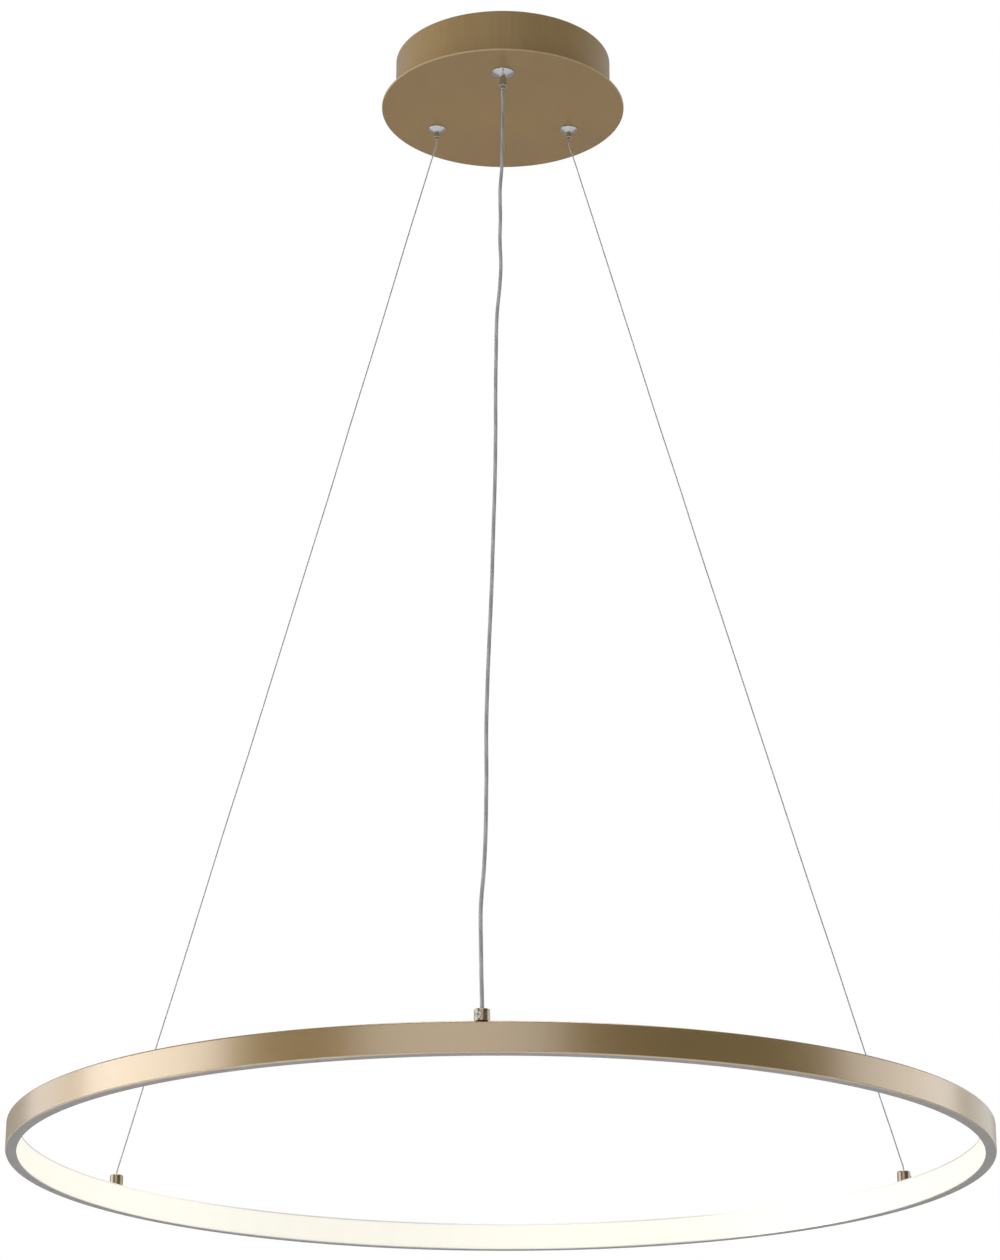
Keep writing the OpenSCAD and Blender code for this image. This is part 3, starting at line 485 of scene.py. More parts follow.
def calc(operation, first, *others, **more):
    """One step of arithmetic on a node's output."""
    return add(first.id_data, "Math", first, *others, operation=operation, **more).outputs[0]


def ranged(value, low, high, to_low=0.0, to_high=1.0, smooth=False):
    """A value moved from one range to another, in a straight or a smooth ramp."""
    ramp = "SMOOTHSTEP" if smooth else "LINEAR"
    node = add(value.id_data, "MapRange", interpolation_type=ramp, Value=value,
               From_Min=low, From_Max=high, To_Min=to_low, To_Max=to_high)
    return node.outputs["Result"]


def mixed(mask, first, second):
    """Two colours mixed by a mask. Each is a plain colour or a node's output."""
    node = add(mask.id_data, "Mix", data_type="RGBA", Factor=mask)
    for number, colour in ((MIX_A, first), (MIX_B, second)):
        feed(node.inputs[number], (*colour, 1) if isinstance(colour, tuple) else colour)
    return node.outputs[MIXED]


def blended(share, first, second):
    """Two shaders mixed by a share."""
    return add(share.id_data, "MixShader", share, first, second).outputs["Shader"]


def object_place(tree):
    """Where a point lies on its object, which here is its place in metres."""
    return add(tree, "TexCoord").outputs["Object"]


print("node helpers ready")

# %% [markdown]
# Effects in groups
#
# Effects that several finishes share live in shader node groups. A group is built once, with named
# inputs that have usual values, and every material places it with its own values. Shaders stay in
# the materials: a group only hands out numbers that change over the surface.

# %% Group helpers
def new_group(name, inputs, outputs):
    """A shader node group: its tree, its given inputs, and the node that takes its outputs."""
    tree = bpy.data.node_groups.new(name, "ShaderNodeTree")
    for label, value in inputs.items():
        socket = tree.interface.new_socket(label, in_out="INPUT", socket_type="NodeSocketFloat")
        socket.default_value = value
    for label in outputs:
        tree.interface.new_socket(label, in_out="OUTPUT", socket_type="NodeSocketFloat")
    return tree, tree.nodes.new("NodeGroupInput").outputs, tree.nodes.new("NodeGroupOutput")


def place(tree, group, **values):
    """The outputs of a group placed in a material, with its own values."""
    return add(tree, "Group", node_tree=group, **values).outputs


print("group helpers ready")

# %% [markdown]
# Flecks: a sprayed metal finish
#
# The gold of this lamp is a satin spray with fine metal flakes in it. Up close it has tiny lighter
# and darker specks, and from afar it looks like cloth. Two noises do it: a fine one for the flakes
# and a coarse one for the slow drift of a sprayed coat. A noise stays near its middle, so the
# spread that it really uses is widened to run from -1 to 1. The group hands out a tone to multiply
# the colour by, a value to add to the roughness, and a height for a very shallow bump.

# %% The flecks group
EFFECTS = ("Tone", "Roughness", "Height")
CLOUDS_PER_METRE = 14.0
FINE_SPREAD, COARSE_SPREAD = (0.25, 0.75), (0.3, 0.7)
ROUGHNESS_SHARE = 0.5

flecks, given, taken = new_group(
    "flecks", {"Grains per Metre": 1400.0, "Amount": 0.1, "Drift": 0.04}, EFFECTS)
spot = object_place(flecks)
grain = add(flecks, "TexNoise", Vector=spot, Scale=given["Grains per Metre"],
            Detail=2.0, Roughness=0.6).outputs["Fac"]
slow = add(flecks, "TexNoise", Vector=spot, Scale=CLOUDS_PER_METRE, Detail=3.0).outputs["Fac"]
grain_tone = calc("MULTIPLY", ranged(grain, *FINE_SPREAD, -1.0), given["Amount"])
slow_tone = calc("MULTIPLY", ranged(slow, *COARSE_SPREAD, -1.0), given["Drift"])
change = calc("ADD", grain_tone, slow_tone)
give(taken, Tone=calc("ADD", change, 1.0), Height=grain,
     Roughness=calc("MULTIPLY", change, ROUGHNESS_SHARE))
print("group", flecks.name)

# %% [markdown]
# Streaks: drawn and brushed metal
#
# Drawn sheet, rolled profiles and turned steel carry long faint lines. A noise does that when it
# is squeezed across the lines and stretched along them. The stretch is set for each of the three
# directions, so one group serves an upright drum and a flat bar alike.

# %% The streaks group
streaks, given, taken = new_group(
    "streaks", {"Across X": 300.0, "Across Y": 300.0, "Across Z": 10.0, "Amount": 0.06}, EFFECTS)
stretch = add(streaks, "CombineXYZ", *(given["Across " + axis] for axis in "XYZ"))
scaled = add(streaks, "VectorMath", object_place(streaks), stretch.outputs["Vector"],
             operation="MULTIPLY")
lines = add(streaks, "TexNoise", Vector=scaled.outputs["Vector"], Scale=1.0,
            Detail=4.0, Roughness=0.6).outputs["Fac"]
change = calc("MULTIPLY", ranged(lines, *COARSE_SPREAD, -1.0), given["Amount"])
give(taken, Tone=calc("ADD", change, 1.0), Roughness=change, Height=lines)
print("group", streaks.name)

# %% [markdown]
# A place on a turned piece
#
# Everything round on this lamp turns about one upright axis. So a spot on it is told by two
# numbers, its distance from that axis and its height, and a mask made from either can paint a rim,
# a lip or an underside. This small group hands out both.

# %% The turned place group
turned_place, _, taken = new_group("turned_place", {}, ("Radius", "Height"))
spot = object_place(turned_place)
level = add(turned_place, "VectorMath", spot, (1, 1, 0), operation="MULTIPLY").outputs["Vector"]
from_axis = add(turned_place, "VectorMath", level, operation="LENGTH").outputs["Value"]
give(taken, Radius=from_axis, Height=add(turned_place, "SeparateXYZ", spot).outputs["Z"])
print("group", turned_place.name)

# %% [markdown]
# One recipe for solid finishes
#
# Every opaque finish here is the Principled shader with a colour that the tone of a group breaks
# up, a roughness that the same group moves, and a shallow bump. The plain numbers, such as how
# metallic it is, sit on the shader's own sockets. What is special to one finish is added after:
# overpaint lays one more colour over what the shader has so far, as a spray through a mask would.

# %% The recipe
BUMP_DEPTH = 0.1 * MM


def new_material(name):
    material = bpy.data.materials.new(name)
    material.use_nodes = True
    return material


def principled(material):
    return material.node_tree.nodes["Principled BSDF"]


def finish_of(name, colour, metallic, roughness, group, bump=0.0, **values):
    """A material whose colour, roughness and bump follow a group."""
    material = new_material(name)
    tree, shader = material.node_tree, principled(material)
    effect = place(tree, group, **values)
    tinted = add(tree, "VectorMath", colour, operation="SCALE", Scale=effect["Tone"])
    rough = calc("ADD", effect["Roughness"], roughness, use_clamp=True)
    give(shader, Base_Color=tinted.outputs["Vector"], Metallic=metallic, Roughness=rough)
    if bump:
        relief = add(tree, "Bump", Strength=bump, Distance=BUMP_DEPTH, Height=effect["Height"])
        give(shader, Normal=relief.outputs["Normal"])
    return material


def overpaint(material, colour, mask):
    """Lays a colour over what feeds the shader's base colour so far, where a mask is 1."""
    shader = principled(material)
    under = shader.inputs["Base Color"].links[0].from_socket
    give(shader, Base_Color=mixed(mask, under, colour))


def dress(pieces, material):
    """Gives objects, or nodes by name, one material."""
    for piece in pieces:
        shown = nodes[piece] if isinstance(piece, str) else piece
        shown.data.materials.clear()
        shown.data.materials.append(material)


print("recipe ready")

# %% [markdown]
# Champagne gold
#
# The gold is a sprayed satin coat: part of it shines like metal, and part of it is plain pigment,
# so its shadows stay brown instead of going black. Clear lacquer over it adds a white sheen, which
# grows where the ring turns away from the eye: that is why its underside looks grey and its two
# sides look pale, and a grey painted reflection is laid on the underside as well. The canopy's
# steel has the same coat as the ring, a little flatter on the drum, with faint upright streaks from
# its drawing, and the drum's gold is lighter to paint in the even light on it. The small holders on
# the ring are buffed, and their gold is darker to paint in the shade of the dark room they reflect.

# %% Gold finishes
GOLD = (0.31, 0.20, 0.068)
PLATE_GOLD = (0.325, 0.192, 0.052)
# Painted light and shade: the drum's gold is lighter and the holders' gold darker than the coat,
# for how the light falls on them.
DRUM_LIT_GOLD = (0.352, 0.232, 0.094)
HOLDER_SHADED_GOLD = (0.225, 0.155, 0.08)
GOLD_METAL, DRUM_METAL, HOLDER_METAL = 0.35, 0.22, 0.5
GOLD_ROUGHNESS, DRUM_ROUGHNESS, HOLDER_ROUGHNESS = 0.42, 0.52, 0.3
LACQUER_ROUGHNESS, PLATE_LACQUER_ROUGHNESS = 0.25, 0.14
LACQUER_IOR = 1.75

ring_gold = finish_of("satin_gold_ring", GOLD, GOLD_METAL, GOLD_ROUGHNESS, flecks, 0.25,
                      Amount=0.07, Drift=0.03)
plate_gold = finish_of("satin_gold_plate", PLATE_GOLD, GOLD_METAL, GOLD_ROUGHNESS, flecks, 0.25,
                       Amount=0.06, Drift=0.05)
drum_gold = finish_of("satin_gold_drum", DRUM_LIT_GOLD, DRUM_METAL, DRUM_ROUGHNESS, streaks, 0.15,
                      Amount=0.05)
holder_gold = finish_of("buffed_gold", HOLDER_SHADED_GOLD, HOLDER_METAL, HOLDER_ROUGHNESS, streaks, 0.1,
                        Across_X=20.0, Across_Y=20.0, Across_Z=900.0, Amount=0.04)
for sprayed in (ring_gold, plate_gold, drum_gold, holder_gold):
    give(principled(sprayed), Coat_Weight=1.0, Coat_Roughness=LACQUER_ROUGHNESS)
give(principled(plate_gold), Coat_Roughness=PLATE_LACQUER_ROUGHNESS)
give(principled(ring_gold), Coat_IOR=LACQUER_IOR)
dress(["canopy_plate"], plate_gold)
dress(["canopy_drum"], drum_gold)
dress(["front_holder", "left_holder", "right_holder"], holder_gold)
print("gold finishes ready")

# %% [markdown]
# The plate's painted rim highlight
#
# The plate's turned rim catches the light as a thin bright line, and that highlight is painted. It
# could be a thin ring of its own, but a mask of the distance from the middle paints the same line.

# %% Rim of the plate
RIM_HIGHLIGHT = (0.52, 0.38, 0.21)
RIM_FROM, RIM_FULL = 0.5 * MM, 0.2 * MM

plate_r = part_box("canopy_plate")[1].x
radius = place(plate_gold.node_tree, turned_place)["Radius"]
rim_highlight_mask = ranged(radius, plate_r - RIM_FROM, plate_r - RIM_FULL, smooth=True)
# Painted highlight: a lighter gold on the rim stands in for the light that the rim catches.
overpaint(plate_gold, RIM_HIGHLIGHT, rim_highlight_mask)
print("rim from", round(plate_r - RIM_FROM, 4), "m")

# %% [markdown]
# The ring profile
#
# The ring is one extruded aluminium channel, rolled to a circle. It opens inwards, and two small
# grooves in its lips take the diffuser's ribs. Outside it shows a tall flat band between two soft
# corners. The section is written once as an outline with its own radii, and the lathe spins it.

# %% Ring profile
RING_W = 9 * MM
RING_WALL = 1.2 * MM
RING_CORNER = 1.5 * MM
LIP_EDGE = 0.15 * MM
GROOVE_SET = 1.05 * MM
GROOVE_W = 0.9 * MM
GROOVE_H = 0.45 * MM
RING_STEPS = 360

low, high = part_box("ring_profile")
ring_out, ring_foot, ring_top = high.x, low.z, high.z
ring_in = ring_out - RING_W
inner_wall = ring_out - RING_WALL
channel_foot, channel_top = ring_foot + RING_WALL, ring_top - RING_WALL
groove_in, groove_out = ring_in + GROOVE_SET, ring_in + GROOVE_SET + GROOVE_W
profile = lathe("gold_ring", [
    (ring_in, ring_foot, LIP_EDGE), (ring_out, ring_foot, RING_CORNER),
    (ring_out, ring_top, RING_CORNER), (ring_in, ring_top, LIP_EDGE),
    (ring_in, channel_top, LIP_EDGE), (groove_in, channel_top, 0),
    (groove_in, channel_top + GROOVE_H, 0), (groove_out, channel_top + GROOVE_H, 0),
    (groove_out, channel_top, 0), (inner_wall, channel_top, 0), (inner_wall, channel_foot, 0),
    (groove_out, channel_foot, 0), (groove_out, channel_foot - GROOVE_H, 0),
    (groove_in, channel_foot - GROOVE_H, 0), (groove_in, channel_foot, 0),
    (ring_in, channel_foot, LIP_EDGE),
], RING_STEPS)
fit(profile, "ring", "satin_gold_aluminium", "ring_profile")
dress([profile], ring_gold)
print("ring", round(2 * ring_out, 4), "m across,", len(profile.data.polygons), "faces")

# %% [markdown]
# Painted highlight, reflection and light on the ring
#
# The rounded lower corner catches the light as a thin bright line, which is painted here as a
# highlight. The underside is painted grey, as a painted reflection of the pale floor in the
# lacquer, and the edges of the lips beside the diffuser are washed out by its light, which is
# painted pale with a little glow. Each is a band of heights or radii, so masks paint them one over
# the other.

# %% Corner, underside and lips of the ring
# Painted highlight: the pale gold on the rounded lower corner stands in for the light that it
# catches.
CORNER_HIGHLIGHT = (0.60, 0.48, 0.32)
CORNER_FROM, CORNER_FULL = 1.5 * MM, 0.9 * MM
# Painted reflection: the grey underside stands in for the lacquer's reflection of the pale floor
# and backdrop.
UNDERSIDE_GREY_REFLECTION = (0.295, 0.27, 0.258)
UNDERSIDE_FROM, UNDERSIDE_FULL = 0.5 * MM, 0.1 * MM
# Painted light: the lips beside the diffuser are painted pale and glow a little, as if lit by it.
LIP_LIT_COLOUR = (0.42, 0.41, 0.365)
LIP_GLOW = (0.42, 0.41, 0.375)
LIP_FROM, LIP_FULL = 0.5 * MM, 0.2 * MM

where = place(ring_gold.node_tree, turned_place)
corner_highlight_mask = ranged(where["Height"], ring_foot + CORNER_FROM, ring_foot + CORNER_FULL, smooth=True)
grey_from, grey_full = ring_foot + UNDERSIDE_FROM, ring_foot + UNDERSIDE_FULL
underneath = ranged(where["Height"], grey_from, grey_full, smooth=True)
above_foot = ranged(where["Height"], grey_full, grey_from, smooth=True)
at_lip = ranged(where["Radius"], ring_in + LIP_FROM, ring_in + LIP_FULL, smooth=True)
lip = calc("MULTIPLY", at_lip, above_foot)
# Painted highlight, painted reflection and painted light, laid over the gold one after another.
for colour, mask in ((CORNER_HIGHLIGHT, corner_highlight_mask), (UNDERSIDE_GREY_REFLECTION, underneath), (LIP_LIT_COLOUR, lip)):
    overpaint(ring_gold, colour, mask)
# Painted light: a little glow on the lips, which are no lamp, stands in for the diffuser's light on
# them.
give(principled(ring_gold), Emission_Color=mixed(lip, (0, 0, 0), LIP_GLOW), Emission_Strength=1.0)
print("lips from radius", round(ring_in, 4), "to", round(ring_in + LIP_FROM, 4))

# %% [markdown]
# The diffuser
#
# An opal plastic strip closes the channel, held by a rib above and a rib below in the profile's
# grooves. It is extruded too, so the same lathe spins its outline. Its two face edges have the same
# tiny radius as the lips beside them.

# %% Diffuser
DIFFUSER_T = 2 * MM
RIB_T = 0.8 * MM
RIB_H = 0.4 * MM
RIB_SET = 1.1 * MM

low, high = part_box("diffuser")
band_foot, band_top = low.z + RIB_H, high.z - RIB_H
band_back = ring_in + DIFFUSER_T
rib_in, rib_out = ring_in + RIB_SET, ring_in + RIB_SET + RIB_T
opal = lathe("opal_band", [
    (ring_in, band_foot, LIP_EDGE), (rib_in, band_foot, 0), (rib_in, low.z, 0),
    (rib_out, low.z, 0), (rib_out, band_foot, 0), (band_back, band_foot, 0),
    (band_back, band_top, 0), (rib_out, band_top, 0), (rib_out, high.z, 0),
    (rib_in, high.z, 0), (rib_in, band_top, 0), (ring_in, band_top, LIP_EDGE),
], RING_STEPS)
fit(opal, "ring", "opal_plastic", "diffuser")
print("opal band", round((band_top - band_foot) / MM, 1), "mm tall")

# %% [markdown]
# The glow of the opal
#
# Behind the opal strip a circle of light chips shines inwards. Opal plastic mixes their light into
# an even band, a little dimmer and warmer at its two edges, where the profile's lips shade it, and
# hardly brighter in front of each chip. Real lamps behind real plastic would be slow and noisy, so
# the strip glows by itself: the colour follows the height in the band, and a faint wave round the
# ring follows the chips.

# %% Opal glow
CHIPS = 96
CHIP_DIP = 0.985
GLOW = (1.0, 0.98, 0.87)
EDGE_GLOW = (0.96, 0.93, 0.83)
EDGE_SPAN = 2.5 * MM
GLOW_STRENGTH = 0.70
OPAL = (0.40, 0.385, 0.34, 1)
OPAL_ROUGHNESS = 0.42

glowing = new_material("lit_opal")
tree = glowing.node_tree
spot = add(tree, "SeparateXYZ", object_place(tree)).outputs
half_band = (band_top - band_foot) / 2
off_middle = calc("ABSOLUTE", calc("SUBTRACT", spot["Z"], (band_top + band_foot) / 2))
at_edge = ranged(off_middle, half_band - EDGE_SPAN, half_band, smooth=True)
chip_turn = calc("MULTIPLY", calc("ARCTAN2", spot["Y"], spot["X"]), CHIPS)
ripple = ranged(calc("COSINE", chip_turn), -1.0, 1.0, 1.0, CHIP_DIP)
glow = add(tree, "VectorMath", mixed(at_edge, GLOW, EDGE_GLOW), operation="SCALE", Scale=ripple)
give(principled(glowing), Base_Color=OPAL, Roughness=OPAL_ROUGHNESS,
     Emission_Color=glow.outputs["Vector"], Emission_Strength=GLOW_STRENGTH)
dress([opal], glowing)
print("glow over", CHIPS, "chips")

# %% [markdown]
# Grippers
#
# A gripper is a chromed rose against the canopy plate, with a slim nipple under it and a threaded
# shank above. Inside, three balls wedge a line in a cone. The outline below is the whole turned
# part, bore and cone included, with the small radii that a polisher leaves on its edges. Those
# radii matter: chrome shows almost nothing but edges and reflections.

# %% Gripper bodies
PLATE_FOOT, PLATE_TOP = (corner.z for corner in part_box("canopy_plate"))
ROSE_T = 1 * MM
ROSE_H = 3.4 * MM
COLLAR_W = 1 * MM
NIPPLE_WALL = 0.6 * MM
SHANK_WALL = 1.6 * MM
CONE_SLOPE = 0.2
CONE_TOP = 7 * MM
CHAMBER_PLAY = 0.35 * MM
CHAMBER_STEP = 0.6 * MM
LINE_PLAY = 0.3 * MM
STEM_WALL = 0.6 * MM
STEM_FIT = 0.06 * MM
FRONT_BALL, SIDE_BALL = 2 * MM, 1.5 * MM
BALL_PLAY = 0.03 * MM
BALL_Z = 3 * MM
EDGE = 0.25 * MM
GRIPPER_STEPS = 96


def gripper_outline(line, ball, low, high, rose):
    """The turned body's outline, from the line and the balls that it holds."""
    bore = line / 2 + LINE_PLAY + STEM_WALL + STEM_FIT
    nipple = bore + NIPPLE_WALL
    orbit = line / 2 + BALL_PLAY + ball / 2
    grip = orbit + (ball / 2 + BALL_PLAY) / math.cos(math.atan(CONE_SLOPE))
    cone_low = BALL_Z - ball
    wide_low = grip + CONE_SLOPE * (cone_low - BALL_Z)
    wide_top = grip + CONE_SLOPE * (CONE_TOP - BALL_Z)
    chamber = wide_top + CHAMBER_PLAY
    shank = chamber + SHANK_WALL
    return [
        (bore, low, EDGE / 3), (nipple, low, EDGE), (nipple, -ROSE_H, EDGE),
        (nipple + COLLAR_W, -ROSE_H, EDGE), (rose, -ROSE_T, EDGE), (rose, 0, EDGE / 2),
        (shank, 0, 0), (shank, high, EDGE), (chamber, high, EDGE / 2),
        (chamber, CONE_TOP + CHAMBER_STEP, 0), (wide_top, CONE_TOP, 0),
        (wide_low, cone_low, 0), (bore, cone_low, 0),
    ]


gripper_bodies = []
for side, line, ball in (("front", CORD_D, FRONT_BALL), ("left", WIRE_D, SIDE_BALL),
                         ("right", WIRE_D, SIDE_BALL)):
    node = side + "_gripper_body"
    low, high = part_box(node)
    centre = (low + high) / 2
    outline = gripper_outline(line, ball, low.z - PLATE_FOOT, high.z - PLATE_FOOT,
                              (high.x - low.x) / 2)
    turned = lathe(side + "_rose", outline, GRIPPER_STEPS, (centre.x, centre.y, PLATE_FOOT))
    gripper_bodies.append(fit(turned, "canopy", "chromed_brass", node))
print("grippers:", [g.name for g in gripper_bodies])

# %% [markdown]
# Leads inside the canopy
#
# Behind the plate, mains comes from the terminal block to the driver in a brown and a blue lead. On
# the driver's other side two cores of the power cord go in. They are soft leads that run straight
# and turn in round bends, so each is a few corner points, chosen from the places of the
# block, the driver and the cord's tail, and the function eased rounds the corners.

# %% Mains leads and cord cores
CORNER_STEPS = 8
MOST_OF_A_RUN = 0.45
LEAD_D = 2.2 * MM
LEAD_SIDES = 14
LEAD_IN = 5 * MM
LEAD_BEND = 7 * MM
CORE_BEND = 6 * MM
POLE_PITCH = 10 * MM
BLOCK_DEPTH = 17 * MM
HOLE_Z = PLATE_TOP + 8 * MM
DRIVER_Z = PLATE_TOP + 12 * MM


def eased(points, trim):
    """A path of straight runs whose corners are rounded over a trimmed length."""
    path = [Vector(points[0])]
    for a, p, b in zip(points, points[1:], points[2:]):
        back, ahead = Vector(p) - Vector(a), Vector(b) - Vector(p)
        t = min(trim, back.length * MOST_OF_A_RUN, ahead.length * MOST_OF_A_RUN)
        for s in range(CORNER_STEPS + 1):
            u = s / CORNER_STEPS
            path.append(Vector(p) - back.normalized() * t * (1 - u) ** 2
                        + ahead.normalized() * t * u * u)
    return path + [Vector(points[-1])]


block_low, block_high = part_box("terminal_block")
case_low, case_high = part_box("driver_cover")
tail_low, tail_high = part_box("cord_tail")
block_face = (block_low.y + block_high.y) / 2 - BLOCK_DEPTH / 2
mains_end, cord_end = case_high.x, -case_high.x
driver_y = (case_low.y + case_high.y) / 2
near_row, far_row = driver_y + LEAD_D, driver_y - LEAD_D
cord_x, cord_y = (tail_low.x + tail_high.x) / 2, (tail_low.y + tail_high.y) / 2
cord_top = tail_high.z

MAINS_LEADS = {
    "brown_lead": [
        (0, block_face + LEAD_IN, HOLE_Z), (0, block_face - 14 * MM, HOLE_Z),
        (mains_end - 1 * MM, driver_y + 27 * MM, DRIVER_Z),
        (mains_end + 11 * MM, driver_y + 13 * MM, DRIVER_Z),
        (mains_end + 12 * MM, near_row, DRIVER_Z), (mains_end - LEAD_IN, near_row, DRIVER_Z)],
    "blue_lead": [
        (POLE_PITCH, block_face + LEAD_IN, HOLE_Z), (POLE_PITCH, block_face - 12 * MM, HOLE_Z),
        (mains_end + 1 * MM, driver_y + 30 * MM, DRIVER_Z),
        (mains_end + 14 * MM, driver_y + 14 * MM, DRIVER_Z),
        (mains_end + 16 * MM, far_row, DRIVER_Z), (mains_end - LEAD_IN, far_row, DRIVER_Z)],
}
CORD_CORES = {
    "output_core_1": [
        (cord_x - CORE_SET, cord_y, cord_top), (cord_x - CORE_SET, cord_y, cord_top + 6 * MM),
        (-34 * MM, driver_y - 45 * MM, cord_top + 4 * MM),
        (cord_end - 12 * MM, driver_y - 25 * MM, DRIVER_Z),
        (cord_end - 13 * MM, far_row, DRIVER_Z), (cord_end + LEAD_IN, far_row, DRIVER_Z)],
    "output_core_2": [
        (cord_x + CORE_SET, cord_y, cord_top), (cord_x + CORE_SET, cord_y, cord_top + 8 * MM),
        (-34 * MM, driver_y - 45 * MM, cord_top + 6 * MM),
        (cord_end - 15 * MM, driver_y - 26 * MM, DRIVER_Z),
        (cord_end - 17 * MM, near_row, DRIVER_Z), (cord_end + LEAD_IN, near_row, DRIVER_Z)],
}
leads = {}
for name, corners in MAINS_LEADS.items():
    section = round_section(LEAD_D / 2, LEAD_SIDES)
    lead = sweep(name, eased(corners, LEAD_BEND), section, start=(0, 0, 1))
    leads[name] = fit(lead, "canopy", "brown_blue_sleeve", "input_leads")
for name, corners in CORD_CORES.items():
    lead = sweep(name, eased(corners, CORE_BEND), core_section, start=(0, 1, 0))
    leads[name] = fit(lead, "canopy", "tinned_core", "output_leads")
print("leads:", list(leads))

# %% [markdown]
# The earth lead
#
# The green and yellow lead goes from the block to a ring terminal on one of the plate's studs. Such
# a terminal is a stamped eye with a rolled barrel that is crimped on the lead. The eye is turned,
# and the lead and its barrel are swept along one heading, so that they meet in line.

# %% Earth lead and its ring terminal
EYE_R = 4.2 * MM
EYE_T = 0.8 * MM
EYE_EDGE = 0.1 * MM
EYE_STEPS = 48
STUD_PLAY_R = 2.2 * MM
TONGUE_L = 5 * MM
BARREL_R = 1.5 * MM
BARREL_STEPS = 6
EYE_OVERLAP = 0.5 * MM
SLEEVE_SIDES = 24
EARTH_OUT, EARTH_RUN = 7 * MM, 8 * MM
HEADING = math.radians(30)
STUD = (-36 * MM, 24 * MM)

eye = Vector((*STUD, PLATE_TOP))
toward = Vector((math.cos(HEADING), math.sin(HEADING), 0))
raised = Vector((0, 0, BARREL_R))
lead_start = eye + toward * (EYE_R + TONGUE_L - EYE_OVERLAP) + raised
earth_lead = sweep("earth_sleeve", eased([
    (-POLE_PITCH, block_face + LEAD_IN, HOLE_Z), (-POLE_PITCH, block_face - EARTH_OUT, HOLE_Z),
    lead_start + toward * EARTH_RUN, lead_start,
], LEAD_BEND), round_section(LEAD_D / 2, SLEEVE_SIDES), start=(0, 0, 1))
ring_eye = lathe("earth_eye", [
    (STUD_PLAY_R, 0, EYE_EDGE), (EYE_R, 0, EYE_EDGE), (EYE_R, EYE_T, EYE_EDGE),
    (STUD_PLAY_R, EYE_T, EYE_EDGE),
], EYE_STEPS, eye)
crimp = sweep("earth_crimp", [
    eye + toward * (EYE_R + i / BARREL_STEPS * (TONGUE_L - EYE_OVERLAP)) + raised
    for i in range(BARREL_STEPS + 1)
], round_section(BARREL_R, SLEEVE_SIDES), start=(0, 0, 1))
fit(earth_lead, "canopy", "green_yellow_sleeve", "earth_lead")
fit(ring_eye, "canopy", "zinc_steel")
fit(crimp, "canopy", "zinc_steel")
print("earth lead:", [piece.name for piece in (earth_lead, ring_eye, crimp)])

# %% [markdown]
# Cores inside the front holder
#
# Where the cord ends in the front holder, its two cores leave it, turn outwards into the channel
# and reach the two contacts of the light strip. They don't show, but they carry the current, so
# they are there: two short sweeps that mirror each other.

# %% Feed cores
FEED_BEND = 1.2 * MM
STRIP_T = 0.4 * MM
PAD_PLAY = 0.2 * MM
PAD_DROP = 1.2 * MM
BEND_DROP = 0.9 * MM
PAD_NEAR, PAD_FAR = 7 * MM, 12 * MM

end_low, end_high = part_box("cord_end")
foot = Vector(((end_low.x + end_high.x) / 2, (end_low.y + end_high.y) / 2, 0))
outwards = foot.normalized()
sideways = Vector((-outwards.y, outwards.x, 0))
strip_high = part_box("light_strip")[1]
pad_out = strip_high.x - STRIP_T - foot.length - CORE_D / 2 - PAD_PLAY


def in_holder(out, across, z):
    """A point given by its distance outwards and sideways from the cord's foot, and its height."""
    return foot + outwards * out + sideways * across + Vector((0, 0, z))


feeds = []
for name, side in (("feed_core_1", -1), ("feed_core_2", 1)):
    corners = [
        in_holder(0, side * CORE_SET, end_low.z),
        in_holder(0, side * CORE_SET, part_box("front_holder")[0].z - BEND_DROP),
        in_holder(pad_out, side * PAD_NEAR, strip_high.z - PAD_DROP),
        in_holder(pad_out - PAD_PLAY, side * PAD_FAR, strip_high.z - PAD_DROP),
    ]
    core = sweep(name, eased(corners, FEED_BEND), core_section, start=outwards)
    feeds.append(fit(core, "ring", "tinned_core", "feed_leads"))
print("feed cores:", [f.name for f in feeds])

# %% [markdown]
# Chrome, zinc and steel
#
# The grippers are plated in dark chrome, a mirror with a trace of smudge, so its roughness is low
# and the flecks only move it. The grub screws are bright steel. Zinc plate is duller and mottled,
# and wire and cut steel keep the faint lines of drawing. Plated pieces are fully metallic: their
# colour is the colour of what they reflect. Fine wire and the grub screws are a little less so,
# because their grooves hold shade that a plain mirror wouldn't show.

# %% Bright metals
# Each gives a colour, the share of metal, a roughness, a group, a bump, and the group's own values.
dark_chrome = finish_of("dark_chrome", (0.57, 0.58, 0.60), 1.0, 0.05, flecks,
                        Grains_per_Metre=260.0, Amount=0.02, Drift=0.03)
grub_steel = finish_of("grub_steel", (0.66, 0.66, 0.66), 0.7, 0.38, flecks, 0.2,
                       Grains_per_Metre=600.0, Amount=0.04)
zinc = finish_of("zinc", (0.62, 0.64, 0.66), 1.0, 0.36, flecks, 0.3,
                 Grains_per_Metre=520.0, Amount=0.12, Drift=0.06)
blue_zinc = finish_of("zinc_sheet", (0.64, 0.66, 0.69), 1.0, 0.32, streaks, 0.2,
                      Across_X=12.0, Across_Y=420.0, Across_Z=420.0, Amount=0.10)
ball_steel = finish_of("ball_steel", (0.72, 0.72, 0.73), 1.0, 0.10, flecks, Amount=0.02)
wire_steel = finish_of("wire_steel", (0.42, 0.42, 0.43), 0.8, 0.36, streaks, 0.2,
                       Across_X=900.0, Across_Y=900.0, Across_Z=60.0, Amount=0.10)
tinned = finish_of("tinned_copper", (0.66, 0.65, 0.62), 0.9, 0.32, streaks, 0.2,
                   Across_X=900.0, Across_Y=900.0, Across_Z=90.0, Amount=0.12)
brass = finish_of("crimped_brass", (0.70, 0.52, 0.24), 1.0, 0.30, flecks, 0.2, Amount=0.08)
